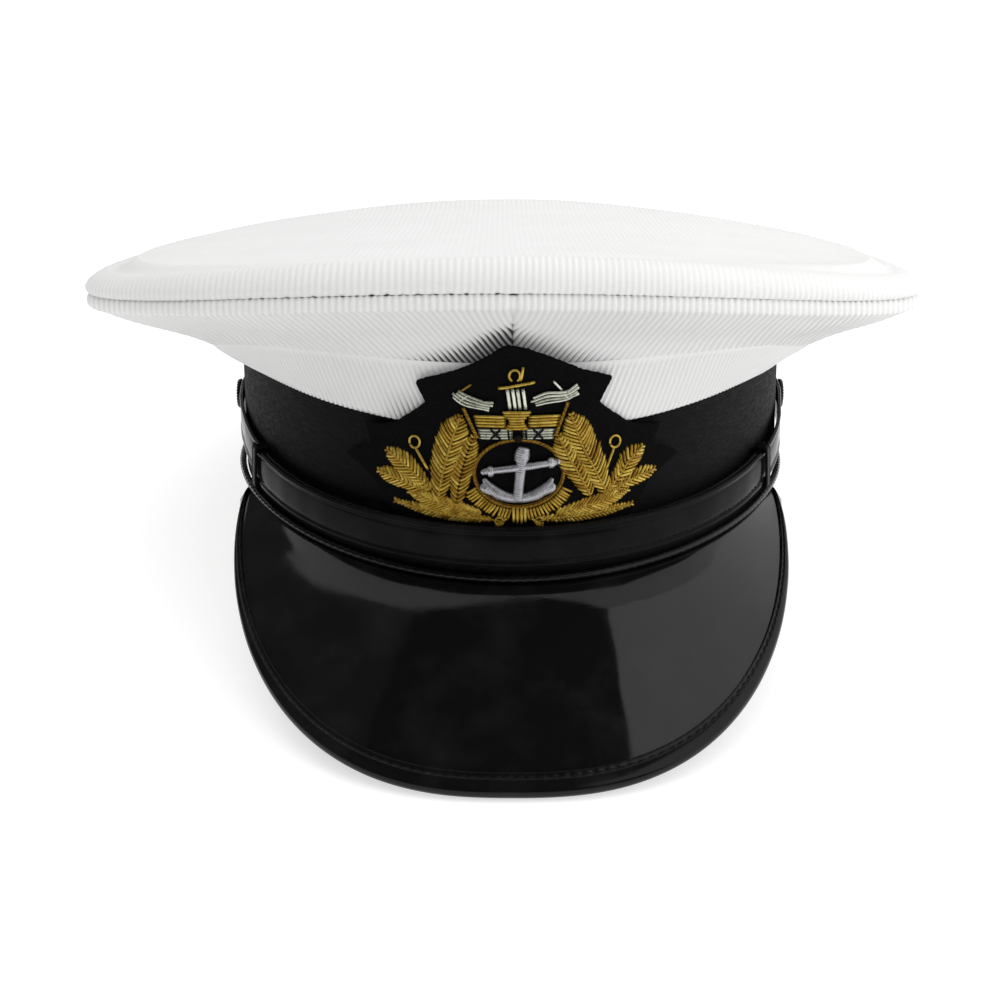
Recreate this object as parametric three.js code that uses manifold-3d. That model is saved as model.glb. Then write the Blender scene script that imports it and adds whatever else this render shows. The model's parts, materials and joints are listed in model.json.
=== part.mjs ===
// A naval-style peaked cap: white corded crown on a wired rim, black mohair band, patent peak,
// patent chin strap with two sliding keepers, and an embroidered badge.
// Millimetres, +Z up. The wearer faces -Y. The cap is drawn with its band level and is then
// tipped back so that it stands on the rim of its peak and on the back of its band.

import * as THREE from "three";
import { mergeVertices } from "three/addons/utils/BufferGeometryUtils.js";
import { TessellateModifier } from "three/addons/modifiers/TessellateModifier.js";
import Module from "manifold-3d";

const wasm = await Module();
wasm.setup();

// ---- Driving dimensions ----

// Head opening, measured at the sweatband's inner face (a 58 cm head).
const HEAD_HALF_WIDTH = 83.4;
const HEAD_HALF_LENGTH = 100.5;
const WIDEST_Y = 15.5; // the oval is widest this far behind its middle
const WIDEST_FADE = 50; // and that shift is gone this far outside the head

const RING_STEPS = 48;
const GAP = 0.3; // clearance between sewn layers

// Layers of the band, as offsets outside the head opening.
const SWEATBAND = { inner: 0, outer: 1.0, low: 1.5, high: 36 };
const STIFFENER = { inner: 2.4, outer: 3.3, low: 0.6 };
const MOHAIR = { inner: 3.6, outer: 5.0, low: 0.9 };
const BAND_HEIGHT = 44.8;
const BAND_LIFT = 8; // the band's edges rise this much at the sides
const WELT = { offset: 6.4, height: 1.3, radius: 1.1, sides: 8 };

// Crown.
const CLOTH = 1.0;
const STAND_FOOT_OFFSET = 5.3;
const RIM = { front: 86.8, side: 65.2, rear: 69.5 }; // height of the seam round the rim
const ROLL = 8.5; // height of the padded roll over the rim
const DOME = 1.5;
const FRONT_DIP = 4; // the front quarters sink this far behind the badge
const RIM_SEAM = 0.35; // half of the gap in the seam round the rim

// Peak.
const PEAK_HALF_ANGLE = THREE.MathUtils.degToRad(70);
const PEAK_HALF_WIDTH = 84.8;
const PEAK_SIDE_Y = -28;
const PEAK_TIP_Y = -148.3;
const PEAK_SIDE_Z = 7.3;
const PEAK_FALL = 35; // straight part of the rim's fall from side to tip
const PEAK_SAG = 16.4; // curved part of it
const PEAK_SQUARENESS = 2.6;
const PEAK_ROOT = { inner: 1.7, bend: 5.6, drop: 1.2 };
const PEAK_BULGE = 0.4;
const BINDING = { width: 5, wall: 0.8, clear: 0.4, share: 0.077 }; // share is its part of the peak's depth

// Chin strap, its keepers and its buttons.
const STRAP = { width: 11, thickness: 1.1, height: 11.8, rise: 7.5 };
const STRAP_LAP = THREE.MathUtils.degToRad(59.5); // each half ends here on the far side
const BUTTON_ANGLE = THREE.MathUtils.degToRad(88);
const STRAP_TAIL = THREE.MathUtils.degToRad(92.5);
const LAP_FULL = THREE.MathUtils.degToRad(62); // the halves lie flat together again from here
const LAP_GONE = THREE.MathUtils.degToRad(78); // to here
const KEEPER_ANGLE = THREE.MathUtils.degToRad(57);
const KEEPER = { length: 3.4, wall: 0.8, play: 0.35 };
const BUTTON = { radius: 5, rise: 1.8, shank: 1.2, hole: 1.6 };
const CLIP = { inner: 1.3, outer: 1.8, radius: 4, bore: 1.55 };

// Badge, laid out in the front view: x across, h above the band's lower edge.
const BADGE_X = 1.2;
const BADGE = { offset: 5.4, thickness: 1.4, leanFrom: 40, lean: 0.27, step: 8 };
const WIRE = 1.2; // relief of the embroidered wire over the badge cloth

// The cap is trimmed this deep where it stands, which makes two small flats.
const REST_TRIM = 0.5;

// ---- Materials ----

function paint(color, roughness, metalness = 0) {
  return new THREE.MeshStandardMaterial({ color, roughness, metalness });
}

const WHITE_CLOTH = paint(0xf4f4f2, 0.75);
const BLACK_MOHAIR = paint(0x1b1b1d, 0.85);
const BLACK_PATENT = paint(0x0c0c0e, 0.12);
const BLACK_LEATHER = paint(0x1d1a18, 0.5);
const BLACK_CLOTH = paint(0x0b0b0c, 0.95);
const LINING_SATIN = paint(0xe4e2dc, 0.4);
const BOARD = paint(0x3a362f, 0.8);
const WADDING = paint(0xe8e6df, 0.95);
const CLEAR_FILM = paint(0xdfe6e8, 0.1);
const SPRING_STEEL = paint(0x8c8f92, 0.35, 1);
const DARK_METAL = paint(0x2a2826, 0.3, 1);
const GOLD_WIRE = paint(0xc9962b, 0.35, 1);
const SILVER_WIRE = paint(0xb9bcb6, 0.35, 1);

// ---- Ovals and rules round the head ----

// A value that goes from front or rear to side; t is 0 at the front and a quarter turn at the side.
function around(front, side, rear = front, sharpness = 2) {
  return (t) => {
    const base = Math.cos(t) > 0 ? front : rear;
    return base + (side - base) * Math.abs(Math.sin(t)) ** sharpness;
  };
}

// The point at angle t on the oval that runs offset mm outside the head opening.
function onOval(t, offset, height) {
  const widest = WIDEST_Y * (1 - offset / WIDEST_FADE);
  const reach = HEAD_HALF_LENGTH + offset + (Math.cos(t) > 0 ? widest : -widest);
  return new THREE.Vector3((HEAD_HALF_WIDTH + offset) * Math.sin(t), widest - reach * Math.cos(t), height);
}

const bandLift = around(0, BAND_LIFT);
const rimOffset = around(37.5, 48.8);
const creaseOffset = around(8.5, 14.6, 11.5);
const creaseHeight = around(62, 47, 54, 6);
const standBulge = around(7.0, 10.0, 7.5);
const strapOffset = around(8.9, 5.5);

const strapHeight = (t) => STRAP.height + bandLift(t) + STRAP.rise * Math.abs(Math.sin(t)) ** 8;
const standFoot = (t) => BAND_HEIGHT - 0.8 + bandLift(t) - 7 * Math.abs(Math.sin(t)) ** 8;

// Height of a skin stretched over the rim's seam, at fraction r of the way from its middle to the rim.
function skinHeight(r, t) {
  const ends = (RIM.front + RIM.rear) / 2;
  const fourfold = (ends - RIM.side) / 2;
  const tilt = (RIM.front - RIM.rear) / 2;
  return ends - fourfold + tilt * r * Math.cos(t) + fourfold * r * r * Math.cos(2 * t);
}

const rimHeight = (t) => skinHeight(1, t);

// ---- Solids from warped three.js geometries ----

function signedVolume(geometry) {
  const flat = geometry.index ? geometry.toNonIndexed() : geometry;
  const position = flat.getAttribute("position");
  const [a, b, c] = [new THREE.Vector3(), new THREE.Vector3(), new THREE.Vector3()];
  let volume = 0;
  for (let i = 0; i < position.count; i += 3) {
    a.fromBufferAttribute(position, i);
    b.fromBufferAttribute(position, i + 1);
    c.fromBufferAttribute(position, i + 2);
    volume += a.dot(b.cross(c)) / 6;
  }
  return volume;
}

// Merges a closed geometry's shared vertices and turns its faces outwards.
function closed(geometry) {
  const plain = geometry.clone();
  plain.deleteAttribute("normal");
  plain.deleteAttribute("uv");
  const merged = mergeVertices(plain, 1e-4);
  if (signedVolume(merged) < 0) {
    const index = merged.index;
    for (let i = 0; i < index.count; i += 3) {
      const second = index.getX(i + 1);
      index.setX(i + 1, index.getX(i + 2));
      index.setX(i + 2, second);
    }
  }
  merged.computeVertexNormals();
  return merged;
}

// Moves every vertex of a geometry to place(vertex), which returns its new position.
function warped(geometry, place) {
  const position = geometry.getAttribute("position");
  for (let i = 0; i < position.count; i++) {
    const moved = place(new THREE.Vector3().fromBufferAttribute(position, i));
    position.setXYZ(i, moved.x, moved.y, moved.z);
  }
  return closed(geometry);
}

// A sheet with a free edge all round: place(p, q, s), each from 0 to 1, q through its thickness.
function sheet(pSteps, sSteps, place) {
  const box = new THREE.BoxGeometry(1, 1, 1, pSteps, 1, sSteps);
  return warped(box, (v) => place(v.x + 0.5, v.y + 0.5, v.z + 0.5));
}

// A hoop right round the head: place(p, q, t), with p up its wall and q through its thickness.
function hoop(pSteps, place) {
  const path = [];
  for (let i = 0; i <= pSteps; i++) path.push(new THREE.Vector2(1, i / pSteps));
  for (let i = pSteps; i >= 0; i--) path.push(new THREE.Vector2(2, i / pSteps));
  path.push(path[0].clone());
  const lathe = new THREE.LatheGeometry(path, RING_STEPS);
  return warped(lathe, (v) => place(v.y, Math.hypot(v.x, v.z) - 1, Math.atan2(v.x, v.z)));
}

// A closed cover over the head: place(p, q, t), with p from its middle to its edge.
function cover(pSteps, place) {
  const path = [];
  for (let i = 0; i <= pSteps; i++) path.push(new THREE.Vector2(i / pSteps, 0));
  for (let i = pSteps; i >= 0; i--) path.push(new THREE.Vector2(i / pSteps, 1));
  const lathe = new THREE.LatheGeometry(path, RING_STEPS);
  return warped(lathe, (v) => place(Math.min(1, Math.hypot(v.x, v.z)), v.y, Math.atan2(v.x, v.z)));
}

// A round cord right round the head: route(t) gives its offset and height.
function cordHoop(radius, sides, route) {
  const hub = 10 * radius;
  const path = [];
  for (let i = 0; i <= sides; i++) {
    const turn = ((i % sides) + 0.5) * (2 * Math.PI / sides);
    path.push(new THREE.Vector2(hub + radius * Math.cos(turn), radius * Math.sin(turn)));
  }
  const lathe = new THREE.LatheGeometry(path, RING_STEPS);
  return warped(lathe, (v) => {
    const t = Math.atan2(v.x, v.z);
    const { offset, height } = route(t);
    return onOval(t, offset + Math.hypot(v.x, v.z) - hub, height + v.y);
  });
}

// ---- Booleans ----

function solid(geometry) {
  const plain = closed(geometry);
  return new wasm.Manifold(new wasm.Mesh({
    numProp: 3,
    vertProperties: plain.getAttribute("position").array,
    triVerts: new Uint32Array(plain.index.array),
  }));
}

function fromSolid(manifold) {
  const mesh = manifold.getMesh();
  const geometry = new THREE.BufferGeometry();
  geometry.setAttribute("position", new THREE.BufferAttribute(mesh.vertProperties, 3));
  geometry.setIndex(new THREE.BufferAttribute(mesh.triVerts, 1));
  geometry.computeVertexNormals();
  return geometry;
}

const cut = (geometry, tool) => fromSolid(solid(geometry).subtract(solid(tool)));

// ---- Band ----

function bandLayer({ inner, outer, low }, high) {
  return hoop(1, (p, q, t) =>
    onOval(t, inner + (outer - inner) * q, low + (high - low) * p + bandLift(t)));
}

function sweatband() {
  return bandLayer(SWEATBAND, SWEATBAND.high);
}

// The hole that each button's shank passes through, on both sides of the cap.
function shankHoles(radius) {
  const centre = buttonCentre(1);
  const drill = new THREE.CylinderGeometry(radius, radius, 3 * HEAD_HALF_WIDTH, 12);
  return drill.rotateZ(Math.PI / 2).translate(0, centre.y, centre.z);
}

function bandStiffener() {
  return cut(bandLayer(STIFFENER, BAND_HEIGHT - 1.2), shankHoles(BUTTON.hole));
}

function mohairBand() {
  return cut(bandLayer(MOHAIR, BAND_HEIGHT), shankHoles(BUTTON.hole));
}

function bandWelt() {
  const route = (t) => ({ offset: WELT.offset, height: WELT.height + bandLift(t) });
  return cordHoop(WELT.radius, WELT.sides, route);
}

// A small ribbon bow sewn inside the back of the sweatband.
function sweatbandBow() {
  const half = 9;
  const bow = new THREE.Shape();
  bow.moveTo(0, 1.2);
  bow.quadraticCurveTo(5, 5, half, 3.2);
  bow.lineTo(half, -3.2);
  bow.quadraticCurveTo(5, -5, 0, -1.2);
  bow.quadraticCurveTo(-5, -5, -half, -3.2);
  bow.lineTo(-half, 3.2);
  bow.quadraticCurveTo(-5, 5, 0, 1.2);
  const ribbon = new THREE.ExtrudeGeometry(bow, { depth: 1, bevelEnabled: false, curveSegments: 4 });
  const backOfHead = onOval(Math.PI, SWEATBAND.inner, 20);
  return closed(ribbon.rotateX(Math.PI / 2).translate(0, backOfHead.y - 2.2, backOfHead.z));
}

// ---- Crown ----

// The wall between the band and the crease under the crown; at the sides it hangs over the band.
function standPoint(p, t) {
  const path = new THREE.QuadraticBezierCurve(
    new THREE.Vector2(STAND_FOOT_OFFSET, standFoot(t)),
    new THREE.Vector2(standBulge(t), (standFoot(t) + creaseHeight(t)) / 2 - 1.5 * Math.sin(t) ** 2),
    new THREE.Vector2(creaseOffset(t), creaseHeight(t)),
  );
  return path.getPoint(p);
}

function crownStand() {
  return hoop(3, (p, q, t) => {
    const { x, y } = standPoint(p, t);
    return onOval(t, x + CLOTH * q, y);
  });
}

// A stiff canvas collar inside the wall, just above the band.
const CANVAS = { inner: 3, flare: 1.2, thickness: 0.8, least: 2 };
const canvasTop = around(58, 52, 55, 4);

function standCanvas() {
  return hoop(1, (p, q, t) => {
    const low = BAND_HEIGHT + GAP + bandLift(t);
    const tall = Math.max(canvasTop(t) - low, CANVAS.least);
    return onOval(t, CANVAS.inner + CANVAS.flare * p + CANVAS.thickness * q, low + tall * p);
  });
}

// The underside of the crown from the crease to the seam round the rim, as one smooth section.
function quarterPath(t) {
  const dip = FRONT_DIP * Math.max(0, Math.cos(t)) ** 12;
  const [low, high] = [creaseHeight(t) + GAP, rimHeight(t)];
  const [near, far] = [creaseOffset(t), rimOffset(t)];
  return new THREE.SplineCurve([
    new THREE.Vector2(near, low),
    new THREE.Vector2(near + 0.3 * (far - near) - dip, low + 0.36 * (high - 5 - low) + dip / 2),
    new THREE.Vector2(near + 0.65 * (far - near) - dip / 2, low + 0.72 * (high - 5 - low) + dip / 2),
    new THREE.Vector2(far - 3.6, high - 5.6),
    new THREE.Vector2(far + 0.1, high - 3.6),
    new THREE.Vector2(far - 1.2, high - RIM_SEAM),
  ]);
}

function crownQuarter(index) {
  const seam = 0.0022; // half of the gap between two quarters, as an angle
  const from = index * Math.PI / 2 + seam;
  const sweep = Math.PI / 2 - 2 * seam;
  return sheet(8, RING_STEPS / 4, (p, q, s) => {
    const t = from + sweep * s;
    const path = quarterPath(t);
    const at = path.getPoint(p);
    const along = path.getTangent(p);
    return onOval(t, at.x - along.y * CLOTH * q, at.y + along.x * CLOTH * q);
  });
}

// Where the top's roll begins, then the roll itself down to the seam, as offset and height from the rim.
const TOP_STATIONS = [0, 0.3, 0.55, 0.78, 0.93];
const TOP_ROLL = [[-3.6, 8.1], [-0.6, 6.6], [0.9, 3.6], [-0.3, RIM_SEAM]];
const TOP_ROLL_MIDDLE = new THREE.Vector2(-5, 3);

function crownTop() {
  const steps = TOP_STATIONS.length + TOP_ROLL.length - 1;
  const roll = TOP_ROLL.map(([x, y]) => new THREE.Vector2(x, y));
  return cover(steps, (p, q, t) => {
    const station = Math.round(p * steps);
    if (station < TOP_STATIONS.length) {
      const r = TOP_STATIONS[station];
      const rim = onOval(t, rimOffset(t), 0);
      const height = skinHeight(r, t) + ROLL + DOME * (1 - r * r);
      return new THREE.Vector3(r * rim.x, r * rim.y, height - CLOTH * (1 - q));
    }
    const at = roll[station - TOP_STATIONS.length];
    const inward = station === steps ? new THREE.Vector2(-1, 0) : TOP_ROLL_MIDDLE.clone().sub(at).normalize();
    const skin = at.clone().addScaledVector(inward, CLOTH * (1 - q));
    return onOval(t, rimOffset(t) + skin.x, rimHeight(t) + skin.y);
  });
}

// The sprung hoop that holds the rim out.
const HOOP = { radius: 1.4, sides: 6, inside: 4.2, above: 2.6 };

function rimGrommet() {
  return cordHoop(HOOP.radius, HOOP.sides, (t) => (
    { offset: rimOffset(t) - HOOP.inside, height: rimHeight(t) + HOOP.above }
  ));
}

// The upright spring inside the front that holds the crown up behind the badge.
const STAY = { halfAngle: 0.07, thickness: 0.7 };
const STAY_PATH = [[2.05, 22], [2.05, 44], [4.2, 60], [10, 75], [26, 84.5]];

function frontStay() {
  const path = new THREE.SplineCurve(STAY_PATH.map(([x, y]) => new THREE.Vector2(x, y)));
  return sheet(8, 2, (p, q, s) => {
    const at = path.getPoint(p);
    const along = path.getTangent(p);
    const depth = STAY.thickness * q;
    return onOval(STAY.halfAngle * (2 * s - 1), at.x - along.y * depth, at.y + along.x * depth);
  });
}

// The lining: a side piece that stands on the sweatband and turns in over the head, and a flat tip.
const LINING = { tipHeight: 61.5, thickness: 0.7, edge: -5.8, rise: 0.8 };
const LINING_SIDE = [
  { offset: 0.3, height: SWEATBAND.high + GAP, lean: 0 },
  { offset: 0.3, height: 54, lean: 0 },
  { offset: -1.2, height: 58.6, lean: Math.PI / 4 },
  { offset: -5.2, height: 61, lean: Math.PI / 2 },
];

function liningSide() {
  const steps = LINING_SIDE.length - 1;
  return hoop(steps, (p, q, t) => {
    const { offset, height, lean } = LINING_SIDE[Math.round(p * steps)];
    const lift = p === 0 ? bandLift(t) : 0;
    const depth = LINING.thickness * q;
    return onOval(t, offset + depth * Math.cos(lean), height + lift + depth * Math.sin(lean));
  });
}

function liningTip() {
  return cover(3, (p, q, t) => {
    const edge = onOval(t, LINING.edge, 0);
    const height = LINING.tipHeight + LINING.rise * (1 - p * p) + LINING.thickness * q;
    return new THREE.Vector3(p * edge.x, p * edge.y, height);
  });
}

// The clear film under the lining that keeps sweat off it.
const SHIELD = { reach: 0.58, below: 1, sag: 0.6, thickness: 0.4 };

function sweatShield() {
  return cover(2, (p, q, t) => {
    const edge = onOval(t, 0, 0).multiplyScalar(SHIELD.reach * p);
    return edge.setZ(LINING.tipHeight - SHIELD.below - SHIELD.sag * p + SHIELD.thickness * (q - 1));
  });
}

// The thin pad between the lining and the taut top.
const PAD = { reach: 0.72, low: 65, thickness: 4 };

function crownWadding() {
  return cover(3, (p, q, t) => {
    const edge = onOval(t, 0, 0).multiplyScalar(PAD.reach * p);
    return edge.setZ(PAD.low + PAD.thickness * q);
  });
}

// ---- Peak ----

const PEAK_FLANGE = 0.06; // the share of the peak that is its sewn root

// A point on the peak's middle surface: p from its root to its rim, s from left to right.
function peakPoint(p, s) {
  const side = 2 * s - 1;
  const t = PEAK_HALF_ANGLE * side;
  const level = bandLift(t) - PEAK_ROOT.drop;
  const root = onOval(t, PEAK_ROOT.inner, level);
  const bend = onOval(t, PEAK_ROOT.bend, level);
  const turn = Math.PI / 2 * side;
  const power = 2 / PEAK_SQUARENESS;
  const fall = Math.abs(Math.cos(turn)) ** power;
  const rim = new THREE.Vector3(
    PEAK_HALF_WIDTH * Math.sign(side) * Math.abs(Math.sin(turn)) ** power,
    PEAK_SIDE_Y + (PEAK_TIP_Y - PEAK_SIDE_Y) * fall,
    PEAK_SIDE_Z - PEAK_FALL * fall - PEAK_SAG * fall * fall,
  );
  if (p < PEAK_FLANGE) return root.lerp(bend, p / PEAK_FLANGE);
  const along = (p - PEAK_FLANGE) / (1 - PEAK_FLANGE);
  const bulge = PEAK_BULGE * 4 * along * (1 - along) * fall;
  const out = new THREE.Vector3(0, -0.7, 0.7).multiplyScalar(bulge);
  return bend.lerp(rim, along).add(out);
}

// The same point moved depth mm along the surface's upward normal.
function peakLayerPoint(p, s, depth) {
  const step = 0.004;
  const pLow = THREE.MathUtils.clamp(p, PEAK_FLANGE + step, 1 - step);
  const sLow = THREE.MathUtils.clamp(s, step, 1 - step);
  const alongP = peakPoint(pLow + step, sLow).sub(peakPoint(pLow, sLow));
  const alongS = peakPoint(pLow, sLow + step).sub(peakPoint(pLow, sLow - step));
  const normal = alongS.cross(alongP).normalize();
  if (normal.z < 0) normal.negate();
  return peakPoint(p, s).addScaledVector(normal, depth);
}

const PEAK_LAYERS = { shell: [-0.7, 0.7], lining: [-1.6, -1.06] };
const SHELL_STATIONS = [0, PEAK_FLANGE, 0.1, 0.25, 0.45, 0.65, 0.85, 1];
const LINING_LAST = 0.99;
const PEAK_STEPS = 24;
const acrossPeak = (u) => 0.01 + 0.98 * u;

function peakLayer([low, high], stations) {
  const steps = stations.length - 1;
  return sheet(steps, PEAK_STEPS, (p, q, s) =>
    peakLayerPoint(stations[Math.round(p * steps)], acrossPeak(s), low + (high - low) * q));
}

// The strip folded over the peak's rim: up its lower side, round the rim and back over the top.
function peakBinding() {
  const { width, wall, clear } = BINDING;
  const [low, high] = [PEAK_LAYERS.lining[0] - GAP, PEAK_LAYERS.shell[1] + GAP];
  const [under, over] = [low - wall, high + wall];
  const edge = clear + wall;
  const inner = [[-width, low], [clear, low], [clear, high], [-width, high]];
  const outer = [
    [-width, under], [edge - 0.4, under], [edge, (low + high) / 2], [edge - 0.4, over], [-width, over],
  ];
  const fold = new THREE.Shape([...inner, ...outer.reverse()].map(([x, y]) => new THREE.Vector2(x, y)));
  const steps = PEAK_STEPS - 2;
  const strip = new THREE.ExtrudeGeometry(fold, { depth: steps / PEAK_STEPS, steps, bevelEnabled: false });
  return warped(strip, (v) => {
    const s = acrossPeak(v.z + 1 / PEAK_STEPS);
    const rim = peakLayerPoint(1, s, v.y);
    const inwards = peakLayerPoint(1 - BINDING.share, s, v.y).sub(rim).normalize();
    return rim.addScaledVector(inwards, -v.x);
  });
}

// ---- Chin strap ----

// A half of the strap from its button, past the front, to its end beyond the far keeper.
// side is 1 when its button is on +X; lap is how far it lies outside the other half.
function strapHalf(side, lap) {
  const from = -STRAP_LAP * side;
  const to = STRAP_TAIL * side;
  const strip = sheet(1, 26, (p, q, s) => {
    const t = from + (to - from) * s;
    const over = lap * (1 - THREE.MathUtils.smoothstep(t * side, LAP_FULL, LAP_GONE));
    const height = strapHeight(Math.min(Math.abs(t), BUTTON_ANGLE)) + STRAP.width * (p - 0.5);
    return onOval(t, strapOffset(t) + over + STRAP.thickness * q, height);
  });
  return cut(strip, shankHoles(BUTTON.hole));
}

// The keeper's frame: x along the strap, y outwards, z across it.
function keeperFrame(side) {
  const t = KEEPER_ANGLE * side;
  const step = 0.01 * side;
  const layers = 2 * STRAP.thickness + GAP;
  const at = (angle) => onOval(angle, strapOffset(angle) + layers / 2, strapHeight(angle));
  const along = at(t + step).sub(at(t - step)).normalize();
  const outward = along.clone().cross(new THREE.Vector3(0, 0, 1)).normalize();
  if (outward.y > 0) outward.negate();
  const across = new THREE.Vector3().crossVectors(along, outward);
  return new THREE.Matrix4().makeBasis(along, outward, across).setPosition(at(t));
}

function keeper(side) {
  const deep = 2 * STRAP.thickness + GAP + 2 * KEEPER.play;
  const tall = STRAP.width + 2 * KEEPER.play;
  const outer = new THREE.BoxGeometry(KEEPER.length, deep + 2 * KEEPER.wall, tall + 2 * KEEPER.wall);
  const inner = new THREE.BoxGeometry(2 * KEEPER.length, deep, tall);
  return closed(cut(outer, inner).applyMatrix4(keeperFrame(side)));
}

// The strap's outer face where a button sits.
function buttonCentre(side) {
  const t = BUTTON_ANGLE * side;
  return onOval(t, strapOffset(t) + STRAP.thickness, strapHeight(t));
}

function button(side) {
  const centre = buttonCentre(side);
  const back = GAP;
  const tail = HEAD_HALF_WIDTH + CLIP.inner - 0.2 - Math.abs(centre.x);
  const { radius, rise, shank } = BUTTON;
  const shankSide = [[0, tail], [shank, tail], [shank, back]];
  const edge = [[radius - 0.4, back], [radius, back + 0.4]];
  const dome = [[0.85 * radius, back + 0.62 * rise], [0.5 * radius, back + 0.92 * rise], [0, back + rise]];
  const profile = [...shankSide, ...edge, ...dome].map(([x, y]) => new THREE.Vector2(x, y));
  const lathe = new THREE.LatheGeometry(profile, 20);
  return closed(lathe.rotateZ(-side * Math.PI / 2).translate(centre.x, centre.y, centre.z));
}

// The split ring that holds a button's shank, behind the stiffener.
function buttonClip(side) {
  const centre = buttonCentre(side);
  const depth = CLIP.outer - CLIP.inner;
  const ring = new THREE.Shape().absarc(0, 0, CLIP.radius, 0, 2 * Math.PI);
  ring.holes.push(new THREE.Path().absarc(0, 0, CLIP.bore, 0, 2 * Math.PI, true));
  const washer = new THREE.ExtrudeGeometry(ring, { depth, bevelEnabled: false, curveSegments: 8 });
  const inside = HEAD_HALF_WIDTH + CLIP.inner;
  return closed(washer.rotateY(side * Math.PI / 2).translate(side * inside, centre.y, centre.z));
}

// ---- Badge ----

// Puts a badge piece, drawn as x, h and depth, on the front of the cap.
function onBadge(v) {
  const lean = BADGE.lean * Math.max(0, v.y - BADGE.leanFrom);
  const offset = BADGE.offset + lean + v.z;
  const x = v.x + BADGE_X;
  return onOval(Math.asin(x / (HEAD_HALF_WIDTH + offset)), offset, v.y);
}

function badgePiece(shape, depth, base) {
  const flat = new THREE.ExtrudeGeometry(shape, { depth, bevelEnabled: false, curveSegments: 6 });
  flat.deleteAttribute("uv");
  const fine = new TessellateModifier(BADGE.step, 8).modify(flat.translate(0, 0, base));
  return warped(fine, onBadge);
}

const outline = (points) => new THREE.Shape(points.map(([x, y]) => new THREE.Vector2(x, y)));
const mirrored = (points) => points.map(([x, y]) => [-x, y]).reverse();
const wireBase = BADGE.thickness + GAP;

function badgeBacking() {
  const right = [
    [14, 64.5], [26, 58.8], [22.8, 51.8], [28, 47], [32.5, 43.6], [42, 41.6],
    [40, 35], [47, 31], [38, 22], [30, 15],
  ];
  const shape = outline([[0, 68.5], ...right, ...mirrored(right)]);
  return badgePiece(shape, BADGE.thickness, 0);
}

// A spray of leaves beside the ring: a tall inner leaf and shorter outer ones.
function badgeSpray(side) {
  const points = [
    [13.8, 31], [12.6, 41], [15, 49.5], [20.5, 46], [24, 39], [27.5, 41], [28.6, 37], [34.5, 36.5],
    [33, 32.5], [38, 29.6], [33.5, 27.6], [35.5, 21.5], [24, 22.5], [18, 24],
  ];
  return badgePiece(outline(side > 0 ? points : mirrored(points)), WIRE, wireBase);
}

// The crossed stems along the bottom.
function badgeStems() {
  const right = [[10, 18.2], [22, 18.6], [33, 20], [23, 21.8], [15, 22.4], [9, 20.6]];
  return badgePiece(outline([...right, [0, 19.6], ...mirrored(right), [0, 17.2]]), WIRE, wireBase);
}

const RING = { width: 12.2, height: 9.6, middle: 32.2, cord: 1.6 };

function badgeRing() {
  const { width, height, middle, cord } = RING;
  const ring = new THREE.Shape().absellipse(0, middle, width, height, 0, 2 * Math.PI);
  const hole = new THREE.Path().absellipse(0, middle, width - cord, height - cord, 0, 2 * Math.PI, true);
  ring.holes.push(hole);
  return badgePiece(ring, WIRE, wireBase);
}

function badgeAnchor() {
  const right = [
    [1, 34.2], [6.6, 35.4], [7.4, 36.6], [8.3, 35.4], [7.6, 33.6], [1.1, 32.2], [1.1, 27.4], [5.2, 30],
    [5.8, 28.2], [3.6, 25.4],
  ];
  const shape = outline([[0.8, 39.4], ...right, [0, 24.4], ...mirrored(right), [-0.8, 39.4]]);
  return badgePiece(shape, WIRE, wireBase);
}

// The double bar across the badge with a block in its middle.
function badgeCoronet() {
  const right = [[10.5, 42.8], [11.8, 49.6], [3.6, 48.9], [3.6, 51]];
  return badgePiece(outline([...right, ...mirrored(right)].reverse()), WIRE, wireBase);
}

function badgeCentrePlume() {
  const right = [[2, 51.5], [2.6, 57.2], [4.2, 57.4], [4.2, 59], [0.9, 59], [0.8, 62]];
  return badgePiece(outline([...right, ...mirrored(right)].reverse()), WIRE, wireBase);
}

function badgeSidePlume(side) {
  const points = [[5, 52.4], [10.5, 51.6], [17, 54.6], [16.2, 58], [10.5, 56.4]];
  return badgePiece(outline(side > 0 ? points : mirrored(points)), WIRE, wireBase);
}

// ---- Standing the cap on a table ----

const lowest = (geometry, pitch) => {
  const position = geometry.getAttribute("position");
  let low = Infinity;
  for (let i = 0; i < position.count; i++) {
    const height = position.getZ(i) * Math.cos(pitch) - position.getY(i) * Math.sin(pitch);
    low = Math.min(low, height);
  }
  return low;
};

// The backward tip at which the front piece and the rear piece both touch the table.
function restPitch(front, rear) {
  let [level, steep] = [0, Math.PI / 4];
  for (let i = 0; i < 40; i++) {
    const middle = (level + steep) / 2;
    if (lowest(front, middle) < lowest(rear, middle)) level = middle;
    else steep = middle;
  }
  return level;
}

const binding = peakBinding();
const welt = bandWelt();
const pitch = restPitch(binding, welt);
const tableHeight = lowest(welt, pitch) + REST_TRIM;
const TABLE = { across: 600, thick: 40 };
const table = new THREE.BoxGeometry(TABLE.across, TABLE.across, TABLE.thick)
  .translate(0, 0, tableHeight - TABLE.thick / 2)
  .rotateX(pitch);

// ---- Assembly ----

const part = new THREE.Group();
const cap = new THREE.Group();
part.add(cap);

function add(name, geometry, material) {
  const mesh = new THREE.Mesh(geometry, material);
  mesh.name = name;
  cap.add(mesh);
}

add("sweatband", sweatband(), BLACK_LEATHER);
add("sweatband_bow", sweatbandBow(), BLACK_LEATHER);
add("band_stiffener", bandStiffener(), BOARD);
add("mohair_band", mohairBand(), BLACK_MOHAIR);
add("band_welt", cut(welt, table), BLACK_PATENT);

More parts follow.
